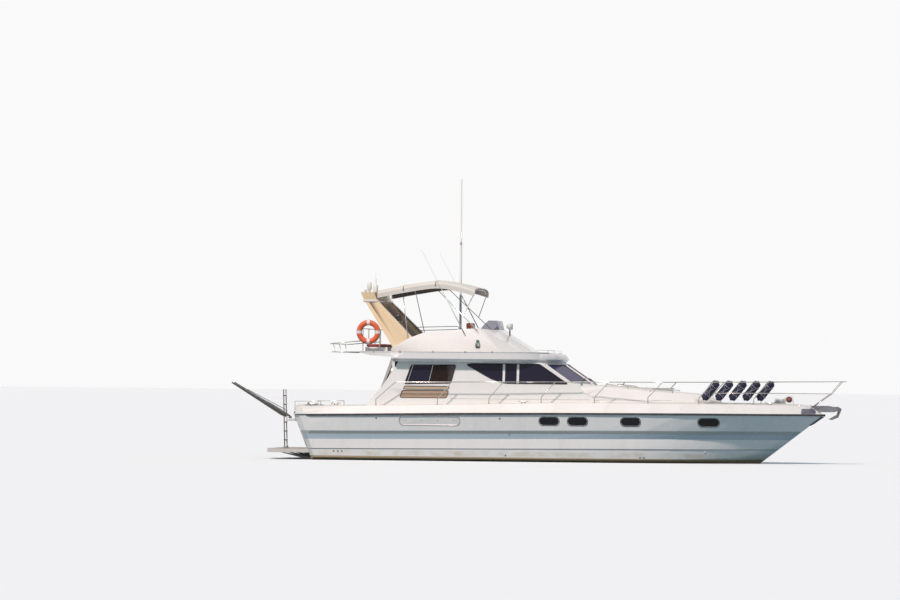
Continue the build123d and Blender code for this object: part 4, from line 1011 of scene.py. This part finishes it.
def cushion(name, low, high, finish, lean=0.0, swell=0.018, voxel=0.016):
    """A stuffed cover between two corners; lean rakes its top aft by that share of its height."""
    low, high = Vector(low), Vector(high)
    inset, seam_depth, seam_corner = 0.012, 0.028, 0.05
    shape = bmesh.new()
    bmesh.ops.create_cube(shape, size=1.0)
    middle, size = (low + high) / 2, high - low - Vector((inset, inset, inset)) * 2
    for vert in shape.verts:
        vert.co = middle + vert.co * size
    piece = linked(name, as_mesh(name, shape))
    rounded = piece.modifiers.new("rounded", "BEVEL")
    rounded.width = min(size) * 0.22
    rounded.segments = 3
    even = piece.modifiers.new("even", "REMESH")
    even.mode = "VOXEL"
    even.voxel_size = voxel
    settle(piece)
    rest = [vert.co.copy() for vert in piece.data.vertices]
    cloth = piece.modifiers.new("stuffing", "CLOTH")
    cloth.settings.use_pressure = True
    cloth.settings.uniform_pressure_force = 4.0
    cloth.settings.effector_weights.gravity = 0.0
    for moment in range(1, 21):
        bpy.context.scene.frame_set(moment)
    settle(piece)
    bpy.context.scene.frame_set(1)
    for vert, start in zip(piece.data.vertices, rest):
        move = vert.co - start
        if move.length > swell:
            move = move.normalized() * swell
        settled = start + move
        settled = Vector([min(max(c, a), b) for c, a, b in zip(settled, low, high)])
        settled.x -= lean * (settled.z - low.z)
        vert.co = settled
    softened = piece.modifiers.new("softened", "SUBSURF")
    softened.levels = 1
    softened.render_levels = 1
    piece.data.materials.clear()
    piece.data.materials.append(finish)
    piece.data.shade_smooth()
    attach(piece, "root")
    skin = bmesh.new()
    skin.from_mesh(piece.data)
    surface = BVHTree.FromBMesh(skin)
    skin.free()
    thin = min(range(3), key=lambda k: size[k])
    wide, tall = [k for k in range(3) if k != thin]
    edge = rounded_box(low[wide], high[wide], low[tall], high[tall], seam_corner, 4)
    seams = []
    for end in (low[thin] + seam_depth, high[thin] - seam_depth):
        seam = []
        for u, v in edge:
            point = Vector((0.0, 0.0, 0.0))
            point[wide], point[tall], point[thin] = u, v, end
            point.x -= lean * (point.z - low.z)
            seam.append(surface.find_nearest(point)[0])
        seams.append(seam)
    bars(name + "_piping", seams, finish, 0.006, 6, closed=True)
    return piece


vinyl = vinyls["red_vinyl"]
seat = cushion("helm_seat_cushion", (-2.99, 0.18, 3.56), (-2.45, 1.25, 3.72), vinyl)
back_low, back_high = (-2.975, 0.18, 3.73), (-2.845, 1.25, 4.18)
back = cushion("helm_back_cushion", back_low, back_high, vinyls["orange_vinyl"], lean=0.05)
stand_in(seat, "flybridge_seat_cushions")
for k, (y_low, y_high) in enumerate(((-1.44, -0.815), (-0.81, -0.19), (-0.185, 0.44))):
    low, high = (-5.79, y_low, 3.40), (-5.13, y_high, 3.49)
    cushion(f"bench_cushion_{k + 1}", low, high, vinyl)
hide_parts("flybridge_bench_cushion")
settee_aft, settee_pitch, settee_length = -4.64, 0.715, 0.705
for k in range(3):
    x = settee_aft + settee_pitch * k
    low, high = (x, -1.60, 1.48), (x + settee_length, -1.13, 1.60)
    cushion(f"settee_seat_{k + 1}", low, high, beige_fabric, swell=0.02, voxel=0.022)
low, high = (-1.34, -1.15, 2.31), (-0.88, -0.60, 2.38)
cushion("helm_seat_pad", low, high, beige_fabric, swell=0.015, voxel=0.018)

# Radar arch: cream moulding with each leg's inward faces painted a rough dark grey-mauve as
# painted shade, inside a dark rim with a speaker in it, and a roof of white domes and lamps.
arch_paint, shader, place = new_finish("arch_gelcoat", Coat_Weight=0.3, Coat_Roughness=0.14)
along, across, height = axes(place)
# Inward faces of the legs are painted dark grey-mauve: painted shade.
inward = across.math("SIGN", across) * surface_normal(place)[1] * -1.0
painted_shade_area = inward.step(0.55, 0.75) * (1 - height.step(4.98, 5.0))
tone = noise(stretched(place, 1.2, 1.2, 0.8), 1.0)
cream = tone.blend((0.70, 0.52, 0.315), (0.79, 0.62, 0.405))
paint(shader, painted_shade_area.blend(cream, (0.33, 0.27, 0.24)))
feed(shader, "Roughness", noise(place, 5.0) * 0.15 + 0.22 + painted_shade_area * 0.5)
smoothed("radar_arch", arch_paint, 24.0)


panel_foot, panel_rise = 3.285, 1.53


def arch_inner(t, x_share, side, proud):
    """A point on a leg's inner panel: t from foot to head, x_share from aft to fore."""
    x_aft, x_fore = -4.76 - 1.065 * t, -4.04 - 1.465 * t
    y = 1.594 - 0.368 * t - proud
    return Vector((x_aft + (x_fore - x_aft) * x_share, side * y, panel_foot + panel_rise * t))


rim_corners = ((0.06, 0.02), (0.97, 0.02), (0.97, 0.98), (0.06, 0.98))
rims = [[arch_inner(t, share, side, 0.004) for t, share in rim_corners] for side in (-1, 1)]
bars("arch_panel_rims", rims, seal_rubber, 0.011, 6, closed=True)
speaker_place = (0.66, 0.42)
speakers = [
    (arch_inner(*speaker_place, side, 0.008), Vector((0.0, -side, -0.24))) for side in (-1, 1)
]
grille_black, shader, place = new_finish("speaker_grille", Roughness=0.6)
mesh_holes = cellular(place, 180.0).step(0.2, 0.4)
paint(shader, mesh_holes.blend((0.015, 0.015, 0.016), (0.09, 0.085, 0.08)))
bump(shader, mesh_holes, 0.001)
studs("arch_speakers", speakers, grille_black, 0.105, 0.022, 0.085, 24)
speaker_radius, panel_lean = 0.108, 0.2342
speaker_rings = []
for side in (-1, 1):
    centre = arch_inner(*speaker_place, side, 0.018)
    speaker_rings.append([
        centre + Vector((c * speaker_radius, -side * s * speaker_radius * panel_lean, s * 0.105))
        for c, s in circle(20)
    ])
bars("arch_speaker_rings", speaker_rings, bright_frame, 0.008, 6, closed=True)
smoothed("arch_equipment", white_plastic, 50.0)

# Bimini: one sheet of acrylic canvas, white outside and painted dark grey-brown inside as painted
# shade, with painted light at its fore end, drawn tight over three steel bows, hemmed along its
# edge and held to the bows by sewn sleeves.
canvas_white, shader, place = new_finish("canvas_outside", Roughness=0.85)
soil = noise(place, 1.6).step(0.4, 0.8) * 0.5
paint(shader, soil.blend((0.72, 0.69, 0.64), (0.62, 0.57, 0.50)))
bump(shader, noise(place, 260.0, 1.0) + noise(place, 5.0) * 2.0, 0.001)
canvas_lining, shader, place = new_finish("canvas_lining", Roughness=0.9)
# The lining is painted dark as painted shade, and lighter towards the fore end as painted light.
shaded_lining = noise(place, 2.0).blend((0.20, 0.155, 0.14), (0.27, 0.215, 0.20))
sunlit_end = axes(place)[0].step(-3.0, -2.75)
paint(shader, sunlit_end.blend(shaded_lining, (0.80, 0.72, 0.66)))
bump(shader, noise(place, 260.0, 1.0), 0.0008)
smoothed("bimini_frame", stainless, 75.0)
bimini_stations = (
    (-5.47, 5.145, 1.262), (-4.60, 5.31, 1.33), (-3.69, 5.435, 1.37), (-3.05, 5.36, 1.385),
    (-2.50, 5.21, 1.40),
)
half_profile = ((1.0, 0.0, 0.255), (1.0, -0.004, 0.12), (1.0, -0.15, 0.052), (0.5, 0.0, 0.004))


def through(rows, t):
    """A smooth curve through rows of numbers, t counted in rows."""
    k = min(int(t), len(rows) - 2)
    u = t - k
    a, b, c, d = (rows[max(0, min(len(rows) - 1, k + shift))] for shift in (-1, 0, 1, 2))
    point = []
    for p, q, r, s in zip(a, b, c, d):
        rising, bending, turning = r - p, 2 * p - 5 * q + 4 * r - s, 3 * q - p - 3 * r + s
        point.append(0.5 * (2 * q + rising * u + bending * u * u + turning * u ** 3))
    return point


canvas_rows, canvas_columns = 48, 56
rows_each = canvas_rows // (len(bimini_stations) - 1)
bow_places = (0.95, 2.0, 3.98)
deepest_sag = 0.012
shape = bmesh.new()
grid = []
for row in range(canvas_rows + 1):
    t = row / rows_each
    x, ridge, half = through(bimini_stations, t)
    sag = deepest_sag * min(1.0, min(abs(t - bow) for bow in bow_places) * 1.6)
    port_half = [(half * share + out, ridge - drop) for share, out, drop in half_profile]
    profile = [(-y, z) for y, z in port_half] + [(0.0, ridge - 0.002)] + port_half[::-1]
    line = []
    for column in range(canvas_columns + 1):
        y, z = through(profile, 8.0 * column / canvas_columns)
        inside = 1.0 - (abs(y) / half) ** 4
        line.append(shape.verts.new((x, max(-half, min(half, y)), z - sag * inside - 0.004)))
    grid.append(line)
woven(shape, grid)
places = [[vert.co.copy() for vert in line] for line in grid]
edges = [places[0], places[-1], [line[0] for line in places], [line[-1] for line in places]]
sleeve_drop = Vector((0.0, 0.0, 0.012))
sleeve_lines = [
    [point - sleeve_drop for point in places[round(rows_each * bow)][4:-4]] for bow in bow_places
]
mesh = as_mesh("bimini_sheet", shape, canvas_white, canvas_lining)
mesh.shade_smooth()
canvas = linked("bimini_sheet", mesh)
thickened(canvas, 0.003).material_offset = 1
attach(canvas, "root")
stand_in(canvas, "bimini_canvas")
hem = bars("bimini_hem", edges, canvas_white, 0.007, 6)
sleeves = bars("bimini_sleeves", sleeve_lines, canvas_lining, 0.017, 8)

# Ties: two bands of white webbing, one round the head of each leg of the arch, to which the
# canvas is sewn.
webbing, shader, place = new_finish("white_webbing", Roughness=0.85)
ribs = noise(stretched(place, 1.0, 1.0, 12.0), 60.0, 1.0)
paint(shader, ribs.blend((0.62, 0.59, 0.55), (0.74, 0.71, 0.67)))
bump(shader, ribs, 0.001)
shape = bmesh.new()
tie_box, tie_low, tie_high = (-5.895, -5.435, 1.205, 1.362, 0.03, 4), 4.755, 4.825
for side in (-1, 1):
    outline = rounded_box(*tie_box)
    lower = [shape.verts.new((u + 0.012, side * (v + 0.010), tie_low)) for u, v in outline]
    upper = [shape.verts.new((u - 0.012, side * (v - 0.006), tie_high)) for u, v in outline]
    bridge(shape, lower, upper)
thickened(built("bimini_ties", shape, webbing), 0.004)

# Aerials: white glass-fibre whips and a tall pole in two lengths, with grey ferrules where
# they join and where they stand on the boat.
aerial_white, shader, place = new_finish("aerial_white", Coat_Weight=0.2)
along, across, height = axes(place)
ferrule = height.band(6.56, 6.66, 0.01) + (1 - height.step(3.92, 3.93))
paint(shader, ferrule.blend((0.70, 0.70, 0.70), (0.30, 0.30, 0.31)))
uneven(shader, place, 20.0, 0.2, 0.3)
smoothed("pole_aerial", aerial_white, 60.0)
smoothed("whip_aerials", aerial_white, 75.0)

# Rails: stainless tube, each post of the guard rails on a round flange held by three screws;
# and the small steel fittings of the same finish.
for node in (
    "guard_rail_port", "guard_rail_starboard", "flybridge_aft_rail", "staff_socket", "trim_tabs",
):
    smoothed(node, stainless, 75.0)
smoothed("cleats", stainless, 50.0)
post_feet = (-3.49, -1.93, -0.36, 1.23, 2.82, 4.31, 5.90, 7.20)
deck_edge_rows = (
    (-8.35, 2.04, 1.60), (-6.0, 2.11, 1.63), (-3.0, 2.14, 1.69), (0.0, 2.13, 1.765),
    (2.85, 1.97, 1.775), (4.5, 1.67, 1.77), (5.95, 1.19, 1.76), (6.85, 0.66, 1.75),
    (7.56, 0.06, 1.72),
)


def deck_edge(x):
    """Half breadth and height of the deck's edge at x."""
    for (x_low, y_low, z_low), (x_high, y_high, z_high) in zip(deck_edge_rows, deck_edge_rows[1:]):
        if x <= x_high:
            share = (x - x_low) / (x_high - x_low)
            return y_low + (y_high - y_low) * share, z_low + (z_high - z_low) * share
    return deck_edge_rows[-1][1:]


deck_top = surface_of("deck")


def on_deck(x, y):
    """Point and normal of the deck under x and y."""
    return deck_top.ray_cast(Vector((x, y, 3.0)), Vector((0, 0, -1)))[:2]


aft_feet = [(-5.36, 2.03), (-7.85, 1.89), (-7.42, 1.93), (-7.05, 1.965)]
rail_inset, screw_circle = 0.06, 0.030
flange_spots, flange_screws = [], []
for side in (-1, 1):
    for x, y in [(x, deck_edge(x)[0] - rail_inset) for x in post_feet] + aft_feet:
        point, normal = on_deck(x, side * y)
        flange_spots.append((point, normal))
        for turn in (0.8, 2.9, 5.0):
            offset = Vector((math.cos(turn), math.sin(turn), 0.0)) * screw_circle
            flange_screws.append((point + offset + normal * 0.008, normal))
studs("rail_flanges", flange_spots, stainless, 0.044, 0.010, 0.036, 16)
studs("flange_screws", flange_screws, bright_frame, 0.006, 0.005, 0.004, 6)

# Moulded joint between cabin and deck: a fine grey line of sealant, laid along each side of
# the house where its skin stands over the deck.
house = surface_of("saloon_sides", "coachroof", "deck")
joint_aft, joint_step, joint_height = -3.15, 0.3, 1.872
joint = [(joint_aft + joint_step * k, joint_height) for k in range(23)]
joint_rows = [traced(house, joint, side, 0.001) for side in (-1, 1)]
bars("house_joints", joint_rows, strip_grey, 0.006, 6)

# Far coaming rail: a stainless rail and a lower one beside it, from the port leg of the arch
# to the helm seat's side.
coaming_rail = [(-4.88, 1.56, 4.03), (-3.50, 1.56, 4.07), (-3.44, 1.56, 4.05), (-3.42, 1.57, 3.86)]
coaming_lower = [(-4.80, 1.56, 3.93), (-3.46, 1.56, 3.975)]
bars("port_coaming_rail", [coaming_rail, coaming_lower], stainless, 0.012, 10)

# Fenders: inflated tubes in navy knitted covers, laced up and stowed in hooped steel racks
# along the starboard rail.
navy, shader, place = new_finish("navy_cover", Roughness=0.85)
knit = noise(stretched(place, 1.0, 1.0, 4.0), 90.0, 1.0)
paint(shader, knit.blend((0.010, 0.012, 0.032), (0.035, 0.036, 0.080)))
bump(shader, knit, 0.003)
rack_steel = mottled(
    "rack_steel", 20.0, (0.30, 0.28, 0.32), (0.46, 0.44, 0.50), rough=(30.0, 0.2, 0.3),
    Metallic=0.6,
)
smoothed("fender_racks", rack_steel, 60.0)
rope_white, shader, place = new_finish("fender_rope", Roughness=0.8)
paint(shader, noise(place, 120.0, 1.0).blend((0.32, 0.31, 0.38), (0.50, 0.49, 0.56)))
bump(shader, noise(place, 200.0), 0.001)
fender_axis = Vector((0.62, 0.0, 0.785)).normalized()
fender_profile = (
    (0.0, 0.0), (0.0, 0.022), (0.022, 0.030), (0.034, 0.062), (0.052, 0.098), (0.085, 0.1185),
    (0.14, 0.124), (0.365, 0.1245), (0.59, 0.124), (0.645, 0.1185), (0.678, 0.098),
    (0.696, 0.062), (0.708, 0.030), (0.73, 0.022), (0.73, 0.0),
)
fender_sides, fender_aft, fender_pitch, fender_foot = 24, 4.40, 0.395, 1.895
rack_ahead, rack_inset = 0.35, 0.29
lace_start, lace_length, lace_reach, lace_steps = 0.10, 0.53, 0.128, 12
across_axis = Vector((0.0, 1.0, 0.0))
upper_axis = fender_axis.cross(across_axis)
shape = bmesh.new()
lacing = []
for k in range(5):
    foot_x = fender_aft + fender_pitch * k
    foot = Vector((foot_x, rack_inset - deck_edge(foot_x + rack_ahead)[0], fender_foot))
    rings = []
    for reach, radius in fender_profile:
        centre = foot + fender_axis * reach
        if radius == 0.0:
            rings.append([shape.verts.new(centre)])
            continue
        rings.append([
            shape.verts.new(centre + (across_axis * c + upper_axis * s) * radius)
            for c, s in circle(fender_sides)
        ])
    for turn in range(fender_sides):
        follow = (turn + 1) % fender_sides
        shape.faces.new((rings[0][0], rings[1][follow], rings[1][turn]))
        shape.faces.new((rings[-2][turn], rings[-2][follow], rings[-1][0]))
    for before, after in zip(rings[1:], rings[2:-1]):
        bridge(shape, before, after)
    for twist in (1, -1):
        lace = []
        for step in range(lace_steps + 1):
            share = step / lace_steps
            turn = math.pi * (1.0 + 0.8 * twist * (share - 0.5))
            outward = across_axis * math.cos(turn) + upper_axis * math.sin(turn)
            along_fender = fender_axis * (lace_start + lace_length * share)
            lace.append(foot + along_fender + outward * lace_reach)
        lacing.append(lace)
stand_in(built("fender_covers", shape, navy), "fenders")
bars("fender_lacing", lacing, rope_white, 0.005, 6)

# Lifebuoy: a moulded orange ring with four white bands that have a sewn edge, and a grab line
# held under each band.
buoy, shader, place = new_finish("lifebuoy_shell", Roughness=0.5)
buoy_centre = Vector((-5.65, -1.745, 3.845))
along, across, height = axes(place)
spread, rise = along - buoy_centre.x, height - buoy_centre.z
narrow = spread.math("MINIMUM", abs(spread), abs(rise))
worn = noise(place, 6.0).blend((0.72, 0.10, 0.035), (0.80, 0.16, 0.06))
paint(shader, narrow.step(0.040, 0.046).blend((0.78, 0.76, 0.73), worn))
bump(shader, noise(place, 40.0), 0.001)
ring_steps, tube_steps, line_steps, ring_radius, tube_radius = 48, 20, 64, 0.282, 0.082


def buoy_loop(outward, radius, steps):
    """A loop round the lifebuoy's tube, where the ring leads outward."""
    return [
        buoy_centre + outward * (ring_radius + radius * c) + Vector((0.0, radius * s, 0.0))
        for c, s in circle(steps)
    ]


shape = bmesh.new()
rings = [
    [shape.verts.new(point) for point in buoy_loop(Vector((c, 0.0, s)), tube_radius, tube_steps)]
    for c, s in circle(ring_steps)
]
for before, after in zip(rings, rings[1:] + rings[:1]):
    bridge(shape, before, after)
stand_in(built("lifebuoy_ring", shape, buoy), "lifebuoy")
line_reach, line_draw, line_sag = ring_radius + tube_radius * 0.96 + 0.004, 0.006, 0.030
grab_line = []
for c, s in circle(line_steps):
    slack = abs(2.0 * s * c)
    reach = line_reach - line_draw * slack
    grab_line.append(buoy_centre + Vector((reach * c, -line_sag * slack, reach * s)))
bars("lifebuoy_line", [grab_line], rope_white, 0.006, 6, closed=True)
band_half = 0.043
bands = []
for c, s in circle(4):
    for shift in (-band_half, band_half):
        along_ring = Vector((-s, 0.0, c)) * shift
        loop = buoy_loop(Vector((c, 0.0, s)), tube_radius + 0.001, 16)
        bands.append([point + along_ring for point in loop])
band_cloth = mottled("band_cloth", 60.0, (0.66, 0.65, 0.62), (0.76, 0.75, 0.72), Roughness=0.8)
bars("lifebuoy_band_edges", bands, band_cloth, 0.004, 6, closed=True)

# Foredeck gear: white windlass housing, a reel of brown warp under its white arches, and a
# galvanised anchor held in a dull steel roller.
windlass_finish, shader, place = new_finish("windlass_enamel", Coat_Weight=0.3)
along, across, height = axes(place)
reel_x, reel_z, reel_radius, reel_half = 6.86, 1.925, 0.090, 0.088
ahead, above = along - reel_x, height - reel_z
from_axis = place.math("SQRT", ahead * ahead + above * above)
on_reel = 1 - abs(across).step(reel_half, reel_half + 0.002)
wound = (1 - from_axis.step(reel_radius, reel_radius + 0.004)) * on_reel
turns = noise(stretched(place, 4.0, 90.0, 4.0), 1.0).blend((0.16, 0.055, 0.04), (0.27, 0.10, 0.07))
paint(shader, wound.blend((0.76, 0.755, 0.745), turns))
feed(shader, "Roughness", wound * 0.4 + 0.3)
smoothed("windlass", windlass_finish, 40.0)
galvanised = mottled(
    "galvanised_steel", 14.0, (0.10, 0.10, 0.11), (0.24, 0.24, 0.26), rough=(10.0, 0.25, 0.4),
    Metallic=0.85,
)
smoothed("anchor", galvanised, 30.0, 0.004)
roller_steel = mottled(
    "dull_roller_steel", 11.0, (0.13, 0.13, 0.15), (0.28, 0.28, 0.31), rough=(16.0, 0.25, 0.3),
    Metallic=0.7,
)
smoothed("bow_roller", roller_steel, 30.0)

# Running gear under water: bronze propellers, brackets and shafts with zinc collars, and
# rudders under antifouling; and the engines inside, in plain grey.
bronze = mottled(
    "cast_bronze", 8.0, (0.35, 0.22, 0.10), (0.52, 0.36, 0.18), rough=(12.0, 0.3, 0.3),
    Metallic=1.0,
)
for node in ("propeller_port", "propeller_starboard", "shaft_brackets", "shaft_logs"):
    smoothed(node, bronze, 40.0)
antifouling = mottled(
    "antifouling", 10.0, (0.10, 0.03, 0.025), (0.17, 0.055, 0.04), grain=(30.0, 0.002),
    Roughness=0.8,
)
for node in ("rudder_port", "rudder_starboard"):
    smoothed(node, antifouling, 30.0)
zinc = mottled(
    "zinc_anode", 40.0, (0.36, 0.37, 0.38), (0.55, 0.56, 0.57), Metallic=0.6, Roughness=0.6,
)
shaft_aft, shaft_fore = Vector((-6.60, 0.85, -0.80)), Vector((-4.75, 0.85, -0.474))
collar_places, collar_half = (0.42, 0.60), (shaft_fore - shaft_aft).normalized() * 0.035
for side, side_name in ((-1, "starboard"), (1, "port")):
    collars = []
    for share in collar_places:
        centre = shaft_aft.lerp(shaft_fore, share)
        ends = (centre - collar_half, centre + collar_half)
        collars.append([(end.x, side * end.y, end.z) for end in ends])
    bars(f"shaft_anodes_{side_name}", collars, zinc, 0.042, 12, f"propeller_{side_name}")
engine_paint = mottled("engine_paint", 3.0, (0.10, 0.12, 0.13), (0.16, 0.18, 0.19), Roughness=0.5)
smoothed("engines", engine_paint, 30.0, 0.02)
